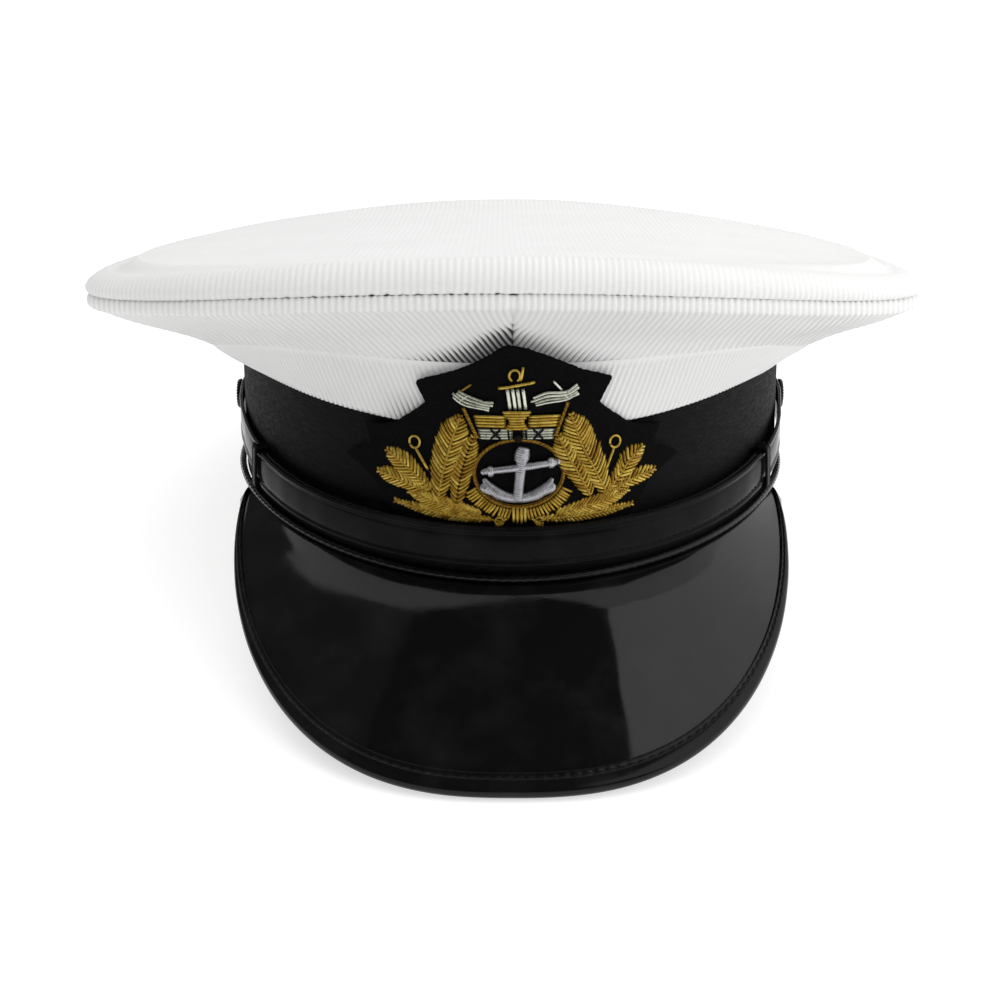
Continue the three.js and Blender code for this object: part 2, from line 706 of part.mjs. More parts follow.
add("crown_stand", crownStand(), WHITE_CLOTH);
add("stand_canvas", standCanvas(), BOARD);
["front_right", "back_right", "back_left", "front_left"].forEach((place, index) => {
  add(`crown_quarter_${place}`, crownQuarter(index), WHITE_CLOTH);
});
add("crown_top", crownTop(), WHITE_CLOTH);
add("rim_grommet", rimGrommet(), SPRING_STEEL);
add("front_stay", frontStay(), SPRING_STEEL);
add("crown_wadding", crownWadding(), WADDING);
add("lining_side", liningSide(), LINING_SATIN);
add("lining_tip", liningTip(), LINING_SATIN);
add("sweat_shield", sweatShield(), CLEAR_FILM);

add("peak_shell", peakLayer(PEAK_LAYERS.shell, SHELL_STATIONS), BLACK_PATENT);
add("peak_lining", peakLayer(PEAK_LAYERS.lining, [...SHELL_STATIONS.slice(2, -1), LINING_LAST]), BLACK_CLOTH);
add("peak_binding", cut(binding, table), BLACK_PATENT);

add("chin_strap_inner", strapHalf(-1, 0), BLACK_PATENT);
add("chin_strap_outer", strapHalf(1, STRAP.thickness + GAP), BLACK_PATENT);
for (const [name, side] of [["left", -1], ["right", 1]]) {
  add(`keeper_${name}`, keeper(side), BLACK_PATENT);
  add(`button_${name}`, button(side), DARK_METAL);
  add(`button_clip_${name}`, buttonClip(side), SPRING_STEEL);
  add(`badge_spray_${name}`, badgeSpray(side), GOLD_WIRE);
  add(`badge_plume_${name}`, badgeSidePlume(side), SILVER_WIRE);
}

add("badge_backing", badgeBacking(), BLACK_CLOTH);
add("badge_stems", badgeStems(), GOLD_WIRE);
add("badge_ring", badgeRing(), GOLD_WIRE);
add("badge_anchor", badgeAnchor(), SILVER_WIRE);
add("badge_coronet", badgeCoronet(), GOLD_WIRE);
add("badge_plume_centre", badgeCentrePlume(), SILVER_WIRE);

cap.rotation.x = -pitch;
part.updateMatrixWorld(true);
const box = new THREE.Box3().setFromObject(part, true);
cap.position.set(-(box.min.x + box.max.x) / 2, -(box.min.y + box.max.y) / 2, -box.min.z);

export default part;
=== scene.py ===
"""Looks of the peaked cap: corded white crown, mohair band, patent peak and strap, bullion badge.

Shapes are worked out in the cap's own frame, in millimetres: the band lies level with its front
lower edge at height 0, and the wearer faces -Y. place() turns that into the row frame, in metres.
"""

import json
import math

import bmesh
import bpy
import numpy as np
from mathutils import Matrix, Vector


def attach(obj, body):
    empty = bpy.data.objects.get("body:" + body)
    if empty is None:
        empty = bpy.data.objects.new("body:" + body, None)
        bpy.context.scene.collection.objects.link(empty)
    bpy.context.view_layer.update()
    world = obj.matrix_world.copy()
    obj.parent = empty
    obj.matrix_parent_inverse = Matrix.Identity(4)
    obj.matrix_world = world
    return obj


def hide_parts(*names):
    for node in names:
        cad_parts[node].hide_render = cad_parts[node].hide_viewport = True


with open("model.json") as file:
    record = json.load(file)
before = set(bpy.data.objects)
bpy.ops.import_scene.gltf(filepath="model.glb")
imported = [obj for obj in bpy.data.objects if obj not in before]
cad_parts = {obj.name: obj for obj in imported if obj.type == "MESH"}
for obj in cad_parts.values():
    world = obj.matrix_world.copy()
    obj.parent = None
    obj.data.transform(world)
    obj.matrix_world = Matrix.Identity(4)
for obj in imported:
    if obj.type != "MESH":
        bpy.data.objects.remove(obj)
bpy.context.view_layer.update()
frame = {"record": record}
record = frame["record"]

# ---------------------------------------------------------------- frames

opening = next(m for m in record["mounts"] if m["name"] == "head_opening")
PITCH = math.atan2(opening["axis"][1], -opening["axis"][2])
ORIGIN = np.array(opening["pos_m"]) * 1000.0


def place(points):
    """Points of the cap frame, in mm, as points of the row frame, in metres."""
    p = np.asarray(points, float)
    c, s = math.cos(PITCH), math.sin(PITCH)
    x, y, z = p[..., 0], p[..., 1], p[..., 2]
    row = np.stack([x, c * y + s * z, c * z - s * y], -1) + ORIGIN
    return row / 1000.0


# ---------------------------------------------------------------- the cap's rules, as in the CAD

HALF_WIDTH, HALF_LENGTH = 83.4, 100.5
WIDEST_Y, WIDEST_FADE = 15.5, 50.0
BAND_LIFT = 8.0
BAND_HEIGHT = 44.8
RIM = {"front": 86.8, "side": 66.4, "rear": 69.5}
ROLL, DOME = 8.5, 1.5
FRONT_DIP = 4.0
GAP = 0.3
BUTTON_ANGLE = math.radians(88)
KEEPER_ANGLE = math.radians(57)
CROWN_SHIFT = -2.4  # the crown sits this far to the wearer's right of the band
RIB = 1.75  # pitch of the cords woven into the white cloth
TAU = 2 * math.pi


def around(t, front, side, rear=None, sharpness=2):
    base = np.where(np.cos(t) > 0, front, front if rear is None else rear)
    return base + (side - base) * np.abs(np.sin(t)) ** sharpness


def on_oval(t, offset, height=0.0):
    t, offset, height = np.broadcast_arrays(np.asarray(t, float), offset, height)
    widest = WIDEST_Y * (1 - offset / WIDEST_FADE)
    reach = HALF_LENGTH + offset + np.where(np.cos(t) > 0, widest, -widest)
    return np.stack([(HALF_WIDTH + offset) * np.sin(t), widest - reach * np.cos(t), height], -1)


def band_lift(t):
    return around(t, 0, BAND_LIFT)


def rim_offset(t):
    return around(t, 37.5, 48.8)


def crease_offset(t):
    return around(t, 8.5, 14.6, 11.5)


def crease_height(t):
    return around(t, 62, 47, 54, 6)


def stand_bulge(t):
    return around(t, 7.0, 10.0, 7.5)


def strap_offset(t):
    return around(t, 8.9, 5.5)


def strap_height(t):
    return 11.8 + band_lift(t) + 7.5 * np.abs(np.sin(t)) ** 8


def stand_foot(t):
    return BAND_HEIGHT - 0.8 + band_lift(t) - 7 * np.abs(np.sin(t)) ** 8


def skin_height(r, t):
    ends = (RIM["front"] + RIM["rear"]) / 2
    fourfold = (ends - RIM["side"]) / 2
    tilt = (RIM["front"] - RIM["rear"]) / 2
    return ends - fourfold + tilt * r * np.cos(t) + fourfold * r * r * np.cos(2 * t)


def rim_height(t):
    return skin_height(1.0, t)


# ---------------------------------------------------------------- helpers for shapes


def smooth(low, high, x):
    u = np.clip((x - low) / (high - low), 0, 1)
    return u * u * (3 - 2 * u)


def waves(points, length, seed):
    """A smooth random field of unit size over points, with features about length across."""
    rng = np.random.default_rng(seed)
    total, count = np.zeros(points.shape[:-1]), 9
    for _ in range(count):
        direction = rng.normal(size=3)
        direction *= TAU / (length * rng.uniform(0.7, 1.6) * np.linalg.norm(direction))
        total += np.sin(points @ direction + rng.uniform(0, TAU))
    return total / math.sqrt(count)


def spline(knots, u):
    """Catmull-Rom through knots[..., k, :], at u from 0 to 1 along them."""
    knots = np.asarray(knots, float)
    n = knots.shape[-2] - 1
    ends = [2 * knots[..., :1, :] - knots[..., 1:2, :], knots, 2 * knots[..., -1:, :] - knots[..., -2:-1, :]]
    k = np.concatenate(ends, -2)
    x = np.clip(np.asarray(u, float), 0, 1) * n
    i = np.minimum(x.astype(int), n - 1)
    f = (x - i)[:, None]
    a, b, c, d = (k[..., i + j, :] for j in range(4))
    return 0.5 * (2 * b + (c - a) * f + (2 * a - 5 * b + 4 * c - d) * f**2 + (3 * b - a - 3 * c + d) * f**3)


def run_along(path):
    """The length along a polyline at each of its points."""
    return np.concatenate([[0], np.cumsum(np.linalg.norm(np.diff(path, axis=0), axis=1))])


def angles_round(count):
    """Equal angles once round, from 0."""
    return np.arange(count) / count * TAU


def resample(path, step=None, count=None):
    """The open polyline path, at equal steps."""
    path = np.asarray(path, float)
    run = run_along(path)
    n = count or max(2, int(round(run[-1] / step)) + 1)
    at = np.linspace(0, run[-1], n)
    return np.stack([np.interp(at, run, path[:, i]) for i in range(path.shape[1])], 1)


def unit(v):
    return v / np.maximum(np.linalg.norm(v, axis=-1, keepdims=True), 1e-12)


def normals_of(grid, wrap=False):
    """Unit normals of a grid of points, d/du cross d/dv. wrap joins the last column to the first."""
    du = np.gradient(grid, axis=0)
    if wrap:
        dv = (np.roll(grid, -1, 1) - np.roll(grid, 1, 1)) / 2
    else:
        dv = np.gradient(grid, axis=1)
    return unit(np.cross(du, dv))


def weld(made, distance):
    """Joins vertices that lie on one another, and turns every face outwards."""
    b = bmesh.new()
    b.from_mesh(made.data)
    bmesh.ops.remove_doubles(b, verts=b.verts, dist=distance)
    bmesh.ops.recalc_face_normals(b, faces=b.faces)
    b.to_mesh(made.data)
    b.free()


class Shape:
    """Vertices and quads collected into one mesh."""

    def __init__(self):
        self.points, self.faces, self.tones, self.count = [], [], [], 0

    def grid(self, points, wrap_u=False, wrap_v=False, flip=False, tone=0.0):
        nu, nv = points.shape[:2]
        i = np.arange(nu if wrap_u else nu - 1)
        j = np.arange(nv if wrap_v else nv - 1)
        i, j = np.meshgrid(i, j, indexing="ij")
        a, b = i * nv + j, ((i + 1) % nu) * nv + j
        c, d = ((i + 1) % nu) * nv + (j + 1) % nv, i * nv + (j + 1) % nv
        quads = np.stack([a, d, c, b] if flip else [a, b, c, d], -1).reshape(-1, 4)
        self.points.append(points.reshape(-1, 3))
        self.faces.append(quads + self.count)
        self.tones.append(np.broadcast_to(tone, (nu, nv)).reshape(-1))
        self.count += nu * nv
        return self

    def tube(self, path, radius, sides, closed=False, tone=0.0, flat=1.0):
        """A round wire along path. radius may vary along it; flat squeezes it towards the cloth."""
        path = np.asarray(path, float)
        n = len(path)
        radius = np.broadcast_to(radius, (n,))
        if closed:
            along = unit(np.roll(path, -1, 0) - np.roll(path, 1, 0))
        else:
            along = unit(np.gradient(path, axis=0))
        up = OUTWARD if abs(along[:, 1]).max() < 0.98 else np.array([0.0, 0.0, 1.0])
        side = unit(np.cross(along, np.broadcast_to(up, along.shape)))
        top = np.cross(side, along)
        turn = np.arange(sides) * TAU / sides
        ring = (side[:, None] * np.cos(turn)[None, :, None]
                + top[:, None] * (np.sin(turn) * flat)[None, :, None])
        points = path[:, None] + ring * radius[:, None, None]
        if closed:
            return self.grid(points, wrap_u=True, wrap_v=True, tone=tone)
        caps = [np.repeat(path[:1, None], sides, 1), points, np.repeat(path[-1:, None], sides, 1)]
        return self.grid(np.concatenate(caps), wrap_v=True, tone=tone)

    def object(self, name, material, body, slot, replaces=(), weld_at=None, frame_points=False):
        """The mesh as a piece of a body; weld_at is the distance, in metres, within which vertices join."""
        points = np.concatenate(self.points)
        faces = np.concatenate(self.faces)
        co = points if frame_points else place(points)
        mesh = bpy.data.meshes.new(name)
        mesh.vertices.add(len(co))
        mesh.vertices.foreach_set("co", co.astype(np.float32).ravel())
        mesh.loops.add(faces.size)
        mesh.loops.foreach_set("vertex_index", faces.astype(np.int32).ravel())
        mesh.polygons.add(len(faces))
        mesh.polygons.foreach_set("loop_start", (np.arange(len(faces)) * 4).astype(np.int32))
        mesh.polygons.foreach_set("use_smooth", np.ones(len(faces), bool))
        mesh.update(calc_edges=True)
        mesh.validate(clean_customdata=False)
        tone = mesh.attributes.new("tone", "FLOAT", "POINT")
        tone.data.foreach_set("value", np.concatenate(self.tones).astype(np.float32))
        mesh.materials.append(material)
        made = bpy.data.objects.new(name, mesh)
        bpy.context.scene.collection.objects.link(made)
        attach(made, body)
        if replaces:
            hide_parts(*replaces)
        if weld_at:
            weld(made, weld_at)
        return made


OUTWARD = np.array([0.0, -1.0, 0.0])


def stitch_row(length, pitch, shares, path, radius, sides=5):
    """Stitches at equal pitch. path gives the points of one from lengths along the seam."""
    shape = Shape()
    for k in range(int(length / pitch)):
        shape.tube(path((k + np.array(shares)) * pitch), radius, sides)
    return shape


def shell(shape, outer, thickness, flip=False):
    """A closed sheet: the grid outer, its inner face thickness behind it, and the edges between."""
    n = normals_of(outer) * (-1 if flip else 1)
    inner = outer - n * thickness
    loop = np.concatenate([outer, inner[::-1]], 0)
    shape.grid(loop, wrap_u=True, flip=not flip)
    for j, turned in ((0, False), (-1, True)):
        end = np.stack([outer[:, j], inner[:, j]], 1)
        shape.grid(end, flip=turned != flip)
    return shape


# ---------------------------------------------------------------- materials


class Nodes:
    """A short way to write a Principled material's node tree."""

    def __init__(self, name, **values):
        self.material = bpy.data.materials.new(name)
        self.material.use_nodes = True
        self.tree = self.material.node_tree
        self.shader = self.tree.nodes["Principled BSDF"]
        for key, value in values.items():
            self.shader.inputs[key.replace("_", " ")].default_value = value
        self.coords = self.tree.nodes.new("ShaderNodeTexCoord").outputs["Object"]

    def feed(self, socket, value):
        """Gives a socket a link from another socket, or a plain value."""
        if hasattr(value, "links"):
            self.tree.links.new(value, socket)
        else:
            socket.default_value = value

    def node(self, kind, **inputs):
        made = self.tree.nodes.new("ShaderNode" + kind)
        for key, value in inputs.items():
            self.feed(made.inputs[key.replace("_", " ")], value)
        return made

    def noise(self, scale, detail, roughness=0.5, stretch=None):
        where = self.coords
        if stretch:
            where = self.node("Mapping", Vector=where, Scale=stretch).outputs[0]
        return self.node("TexNoise", Vector=where, Scale=scale, Detail=detail,
                         Roughness=roughness).outputs["Fac"]

    def tone(self):
        """The tone painted on each vertex: painted shade on the white cloth, and a brightness given wire by
        wire, mostly at random, on the bullion wires.
        """
        made = self.tree.nodes.new("ShaderNodeAttribute")
        made.attribute_name = "tone"
        return made.outputs["Fac"]

    def math(self, operation, a, b, clamp=False):
        made = self.tree.nodes.new("ShaderNodeMath")
        made.operation, made.use_clamp = operation, clamp
        for socket, value in zip(made.inputs, (a, b)):
            self.feed(socket, value)
        return made.outputs[0]

    def range(self, value, low, high, to_low, to_high):
        return self.node("MapRange", Value=value, From_Min=low, From_Max=high, To_Min=to_low,
                         To_Max=to_high).outputs[0]

    def mix(self, factor, a, b):
        made = self.tree.nodes.new("ShaderNodeMix")
        made.data_type = "RGBA"
        for key, value in (("Factor_Float", factor), ("A_Color", a), ("B_Color", b)):
            self.feed(next(s for s in made.inputs if s.identifier == key), value)
        return next(s for s in made.outputs if s.identifier == "Result_Color")

    def blend(self, factor, low, high, dark, light):
        """From dark to light as factor goes from low to high."""
        return self.mix(self.range(factor, low, high, 0, 1), rgb(*dark), rgb(*light))

    def bump(self, height, strength, distance, normal=None):
        made = self.node("Bump", Height=height, Strength=strength, Distance=distance)
        if normal is not None:
            self.tree.links.new(normal, made.inputs["Normal"])
        return made.outputs[0]

    def set(self, **sockets):
        for key, value in sockets.items():
            self.tree.links.new(value, self.shader.inputs[key.replace("_", " ")])
        return self.material


def rgb(r, g, b):
    return (r, g, b, 1.0)


def white_cloth():
    n = Nodes("white_cloth", Roughness=0.82, Sheen_Weight=0.12, Sheen_Roughness=0.4, Specular_IOR_Level=0.3)
    soft = n.noise(28, 5, 0.6)
    fuzz = n.noise(2600, 3, 0.6)
    slub = n.noise(420, 2, 0.5, (1.0, 0.25, 1.0))
    base = n.blend(soft, 0.35, 0.7, (0.83, 0.83, 0.825), (0.80, 0.80, 0.795))
    # the tone attribute is painted shade: it darkens the cloth towards grey in the cord valleys, and towards
    # near black above 1.2 at stitch puckers, seams and beside the badge
    valley = n.mix(n.range(n.tone(), 0.0, 1.0, 0.0, 1.0), base, rgb(0.71, 0.71, 0.70))
    valley = n.mix(n.range(n.tone(), 1.2, 4.0, 0.0, 1.0), valley, rgb(0.05, 0.05, 0.05))
    height = n.math("ADD", n.math("MULTIPLY", fuzz, 0.6), n.math("MULTIPLY", slub, 0.6))
    return n.set(Base_Color=valley, Normal=n.bump(height, 0.35, 0.0002),
                 Roughness=n.range(fuzz, 0.3, 0.7, 0.72, 0.92))


def mohair_cloth():
    n = Nodes("mohair", Roughness=0.62, Specular_IOR_Level=0.10)
    hairs = n.noise(1700, 3, 0.6, (0.2, 0.2, 1.0))
    soft = n.noise(40, 3)
    base = n.blend(hairs, 0.35, 0.7, (0.0010, 0.0010, 0.0012), (0.0048, 0.0048, 0.0053))
    base = n.mix(n.range(soft, 0.4, 0.7, 0, 0.35), base, rgb(0.0036, 0.0036, 0.004))
    return n.set(Base_Color=base, Normal=n.bump(hairs, 0.5, 0.00015),
                 Roughness=n.range(hairs, 0.3, 0.7, 0.5, 0.8))


def patent_leather(name, roughness, ripple, specular):
    n = Nodes(name, Base_Color=rgb(0.0045, 0.0045, 0.005), Roughness=0.08, Specular_IOR_Level=specular)
    smudge = n.noise(60, 6, 0.62)
    scuff = n.noise(900, 3, 0.55, (1.0, 0.08, 0.6))
    sway = n.noise(34, 2, 0.45)
    tone = n.blend(smudge, 0.45, 0.75, (0.0048, 0.0048, 0.0052), (0.0105, 0.0105, 0.011))
    rough = n.math("ADD", n.range(smudge, 0.35, 0.75, *roughness), n.range(scuff, 0.62, 0.8, 0.0, 0.05))
    normal = n.bump(sway, ripple, 0.0012)
    normal = n.bump(n.noise(1500, 2, 0.5), 0.05, 0.0001, normal)
    return n.set(Base_Color=tone, Roughness=rough, Normal=normal)


def felt(name, dark, light, scale=1500):
    n = Nodes(name, Roughness=0.95, Specular_IOR_Level=0.08)
    fibres = n.noise(scale, 5, 0.7)
    base = n.blend(fibres, 0.35, 0.75, dark, light)
    return n.set(Base_Color=base, Normal=n.bump(fibres, 0.6, 0.0003),
                 Roughness=n.range(fibres, 0.2, 0.8, 0.85, 1.0))


def bullion(name, deep, mid, bright, roughness=0.3, metallic=0.62):
    n = Nodes(name, Metallic=metallic, Roughness=roughness, Specular_IOR_Level=0.5)
    strand = n.noise(620, 3, 0.6)
    tone = n.math("ADD", n.range(n.tone(), 0, 1, 0, 0.75), n.range(strand, 0.3, 0.7, 0.0, 0.35), clamp=True)
    ramp = n.node("ValToRGB", Fac=tone)
    ramp.color_ramp.elements[0].color, ramp.color_ramp.elements[1].color = rgb(*deep), rgb(*bright)
    middle = ramp.color_ramp.elements.new(0.5)
    middle.color = rgb(*mid)
    coil = n.noise(5200, 2, 0.6)
    return n.set(Base_Color=ramp.outputs[0], Normal=n.bump(coil, 0.35, 0.00008),
                 Roughness=n.range(strand, 0.3, 0.7, roughness * 0.8, roughness * 1.4))


def leather(name, dark, light):
    n = Nodes(name, Roughness=0.5, Specular_IOR_Level=0.4)
    cells = n.node("TexVoronoi", Vector=n.coords, Scale=900.0)
    cells.feature = "DISTANCE_TO_EDGE"
    grain = n.math("ADD", n.range(cells.outputs[0], 0.0, 0.12, 0.0, 1.0), n.noise(160, 4))
    base = n.blend(n.noise(45, 5), 0.35, 0.7, dark, light)
    return n.set(Base_Color=base, Normal=n.bump(grain, 0.3, 0.0002),
                 Roughness=n.range(n.noise(220, 3), 0.3, 0.7, 0.38, 0.6))


def satin(name, base, shade):
    n = Nodes(name, Roughness=0.36, Sheen_Weight=0.25, Sheen_Roughness=0.3, Anisotropic=0.4)
    warp = n.noise(1400, 2, 0.5, (1.0, 0.12, 1.0))
    colour = n.blend(n.noise(50, 4), 0.35, 0.7, base, shade)
    return n.set(Base_Color=colour, Normal=n.bump(warp, 0.2, 0.0001),
                 Roughness=n.range(warp, 0.3, 0.7, 0.3, 0.5))


def metal(name, base, shade, roughness):
    n = Nodes(name, Metallic=1.0, Roughness=roughness)
    brush = n.noise(700, 3, 0.6, (1.0, 1.0, 0.15))
    colour = n.blend(n.noise(90, 4), 0.4, 0.7, base, shade)
    return n.set(Base_Color=colour, Normal=n.bump(brush, 0.15, 0.0001),
                 Roughness=n.range(brush, 0.3, 0.7, roughness * 0.7, roughness * 1.3))


def board(name, base, shade):
    n = Nodes(name, Roughness=0.9, Specular_IOR_Level=0.2)
    pulp = n.noise(900, 6, 0.7)
    colour = n.blend(pulp, 0.3, 0.7, base, shade)
    return n.set(Base_Color=colour, Normal=n.bump(pulp, 0.3, 0.0002),
                 Roughness=n.range(pulp, 0.3, 0.7, 0.8, 0.98))


def film():
    n = Nodes("clear_film", Base_Color=rgb(0.93, 0.95, 0.96), Roughness=0.12, Alpha=0.22)
    return n.set(Roughness=n.range(n.noise(50, 4), 0.35, 0.7, 0.08, 0.25),
                 Normal=n.bump(n.noise(35, 3), 0.3, 0.001))


WHITE = white_cloth()
MOHAIR = mohair_cloth()
PATENT = patent_leather("patent", (0.05, 0.13), 0.14, 0.42)
PATENT_TRIM = patent_leather("patent_trim", (0.14, 0.26), 0.1, 0.22)
PATENT_STRAP = patent_leather("patent_strap", (0.12, 0.22), 0.1, 0.04)
BADGE_CLOTH = felt("badge_cloth", (0.0012, 0.0012, 0.0014), (0.0048, 0.0048, 0.0052))
THREAD_BLACK = felt("black_thread", (0.004, 0.004, 0.004), (0.02, 0.02, 0.02), 4000)
THREAD_WHITE = felt("white_thread", (0.7, 0.7, 0.69), (0.85, 0.85, 0.84), 4000)
GOLD = bullion("gold_wire", (0.12, 0.042, 0.004), (0.37, 0.215, 0.016), (0.70, 0.52, 0.10))
SILVER = bullion("silver_wire", (0.09, 0.10, 0.07), (0.38, 0.40, 0.31), (0.78, 0.80, 0.68), 0.28, 0.8)
PEWTER = bullion("silver_purl", (0.18, 0.18, 0.19), (0.34, 0.34, 0.36), (0.60, 0.60, 0.63), 0.34, 0.8)
SWEAT_LEATHER = leather("sweat_leather", (0.012, 0.010, 0.009), (0.028, 0.024, 0.021))
SATIN = satin("lining_satin", (0.78, 0.77, 0.73), (0.70, 0.69, 0.64))
BOARD = board("board", (0.05, 0.043, 0.034), (0.10, 0.088, 0.07))
CANVAS = board("canvas", (0.42, 0.38, 0.30), (0.55, 0.51, 0.42))
WADDING = felt("wadding", (0.72, 0.71, 0.68), (0.84, 0.83, 0.80), 700)
STEEL = metal("spring_steel", (0.42, 0.43, 0.45), (0.30, 0.31, 0.33), 0.3)
DARK_METAL = metal("dark_metal", (0.018, 0.017, 0.016), (0.035, 0.032, 0.028), 0.28)
FILM = film()

# ---------------------------------------------------------------- crown

CROWN_STEPS = 900


def cords(coordinate, depth):
    """Depth of the woven cords at a coordinate across them, in mm."""
    wave = np.cos(TAU * coordinate / RIB)
    return depth * (0.5 * wave + 0.08 * wave**2)


def valley(coordinate):
    """From 0 on a cord to 1 at the bottom of the valley between two; the white cloth's painted shade in the
    valleys follows it.
    """
    return (0.5 - 0.5 * np.cos(TAU * coordinate / RIB)) ** 2


def crown_shift(points, share):
    """The crown's lean to one side, which the front and rear seams don't share."""
    moved = points.copy()
    moved[..., 0] += CROWN_SHIFT * share * smooth(0, 60, np.abs(points[..., 0]))
    return moved


def disc_height(r, t):
    return skin_height(r, t) + ROLL + DOME * (1 - r * r)


ROLL_START = 0.88
ROLL_PATH = np.array([[-9.5, 8.1], [-6.0, 7.9], [-2.8, 6.7], [-0.5, 4.5], [0.35, 2.4], [0.1, 1.1],
                      [-0.5, 0.35], [-1.0, 0.02], [-2.8, -0.04]])
STITCH = 3.9  # pitch of the stitches round the rim


def pucker(t):
    """From 0 to 1, strongest where a stitch pulls the seam round the rim in."""
    fine = np.linspace(-math.pi, math.pi, 4001)
    rim = on_oval(fine, rim_offset(fine))
    run = run_along(rim)
    arc = np.interp(np.angle(np.exp(1j * t)), fine, run)
    turns = round(run[-1] / STITCH)
    rng = np.random.default_rng(5)
    strength = rng.uniform(0.15, 1.0, turns)
    x = arc / run[-1] * turns
    # the tightest stitches are left of the front seam
    tight = 0.22 + 0.78 * np.exp(-(((np.angle(np.exp(1j * t)) + 0.2) / 0.33) ** 2))
    return (0.5 + 0.5 * np.cos(TAU * x)) ** 4 * strength[np.round(x).astype(int) % turns] * tight


def crown_top():
    """The top: cords run from front to back, over the padded roll and down to the seam."""
    tau = (np.arange(CROWN_STEPS) + 0.5) / CROWN_STEPS * math.pi - math.pi / 2
    fine = np.linspace(-math.pi, math.pi, 8001)
    rim = on_oval(fine, rim_offset(fine))
    bearing = np.arctan2(rim[:, 0], -rim[:, 1])
    reach = np.hypot(rim[:, 0], rim[:, 1])

    def polar(x, y):
        angle = np.arctan2(x, -y)
        t = np.interp(angle, bearing, fine)
        return t, np.hypot(x, y) / np.interp(angle, bearing, reach)

    edge = ROLL_START * rim
    widest = edge[:, 0].max()
    x = widest * np.sin(tau)
    side = np.argmax(edge[:, 0])
    left = np.argmin(edge[:, 0])
    fore = slice(left, side + 1)
    t_front = np.interp(x, edge[fore, 0], fine[fore])
    rear_t = np.concatenate([fine[side:], fine[: left + 1] + TAU])
    rear_x = np.concatenate([edge[side:, 0], edge[: left + 1, 0]])
    t_rear = np.interp(-x, -rear_x, rear_t)
    y_front = np.interp(t_front, fine, edge[:, 1])
    y_rear = np.interp(np.angle(np.exp(1j * t_rear)), fine, edge[:, 1])

    rows = 48
    v = np.linspace(0, 1, rows)[:, None]
    v = v - 0.06 * np.sin(TAU * v) / TAU * 2
    y = y_front + (y_rear - y_front) * v
    xx = np.broadcast_to(x, y.shape)
    t, r = polar(xx, y)
    disc = np.stack([xx, y, disc_height(r, t)], -1)

    def height_at(x, y):
        t, r = polar(x, y)
        return disc_height(r, t)

    step = 0.6
    slope_x = (height_at(xx + step, y) - height_at(xx - step, y)) / (2 * step)
    slope_y = (height_at(xx, y + step) - height_at(xx, y - step)) / (2 * step)
    n_disc = unit(np.stack([-slope_x, -slope_y, np.ones_like(y)], -1))

    t_ring = np.concatenate([t_front, t_rear[::-1]])
    hub = on_oval(t_ring, rim_offset(t_ring))
    knots = []
    for share in (0.83, ROLL_START):
        p = hub * share
        knots.append(np.stack([p[:, 0], p[:, 1], disc_height(share, t_ring)], -1))
    # the roll is thinner at the sides
    thin = 1 - 0.24 * np.sin(t_ring) ** 2
    for offset, rise in ROLL_PATH:
        knots.append(on_oval(t_ring, rim_offset(t_ring) + offset, rim_height(t_ring) + rise * thin))
    knots = np.stack(knots, 1)
    steps = 31
    u = (1 + np.linspace(0, 1, steps) * (knots.shape[1] - 2)) / (knots.shape[1] - 1)
    ring = np.swapaxes(spline(knots, u), 0, 1)
    pull = pucker(t_ring)[None, :] * smooth(0.62, 0.86, np.linspace(0, 1, steps))[:, None]

    def add_cords_and_shade(points, normal, fade=1.0):
        edge = smooth(0.74, 0.98, polar(points[..., 0], points[..., 1])[1])
        tautness = 1 - 0.45 * smooth(-40, -105, points[..., 0])
        depth = (0.08 + 0.22 * edge) * tautness * (0.85 + 0.15 * waves(points, 60, 11))
        bend = 0.2 * waves(points, 130, 3) + 0.05 * waves(points, 45, 4)
        c = points[..., 0] + 0.22 * waves(points, 40, 7)
        out = points + normal * (cords(c, depth) * fade + bend * fade)[..., None]
        # the second value is painted shade, deeper in the cord valleys towards the rim
        return out, valley(c) * (0.2 + 0.5 * edge)

    n_ring = normals_of(ring, wrap=True)
    n_ring *= np.sign(n_ring[0, :, 2].mean())
    # the two meshes meet on one line, so its normals are the disc's own
    n_ring[0, :CROWN_STEPS] = n_disc[0]
    n_ring[0, CROWN_STEPS:] = n_disc[-1][::-1]
    fade = 1 - 0.8 * smooth(0.70, 0.86, np.linspace(0, 1, steps))[:, None]
    top, tone_top = add_cords_and_shade(disc, n_disc)
    roll, tone_roll = add_cords_and_shade(ring, n_ring, fade)
    roll = roll + n_ring * (-0.35 * pull)[..., None]
    shape = Shape()
    shape.grid(crown_shift(top, 1), tone=tone_top, flip=True)
    # painted shade: darker in the roll's cord valleys and at the stitch puckers
    shape.grid(crown_shift(roll, 1), wrap_v=True, tone=tone_roll * fade + 1.9 * pull)
    shape.object("crown_top_cloth", WHITE, "cap", "white_cloth", ["crown_top"], weld_at=0.00002)


def quarter_knots(t):
    """Stations of the underside of the crown, from its crease to the seam round the rim."""
    dip = FRONT_DIP * np.maximum(0, np.cos(t)) ** 12
    low, high = crease_height(t) + GAP, rim_height(t)
    near, far = crease_offset(t), rim_offset(t)
    rise, run = high - 5 - low, far - near
    return np.stack([
        np.stack([near, low], -1),
        np.stack([near + 0.3 * run - dip, low + 0.36 * rise + dip / 2], -1),
        np.stack([near + 0.65 * run - dip / 2, low + 0.72 * rise + dip / 2], -1),
        np.stack([far - 3.5, high - 5.0], -1),
        np.stack([far - 0.5, high - 3.9], -1),
        np.stack([far + 0.3, high - 2.1], -1),
        np.stack([far - 0.1, high - 0.9], -1),
        np.stack([far - 0.7, high - 0.28], -1),
        np.stack([far - 1.1, high], -1),
        np.stack([far - 2.8, high + 0.02], -1),
    ], -2)


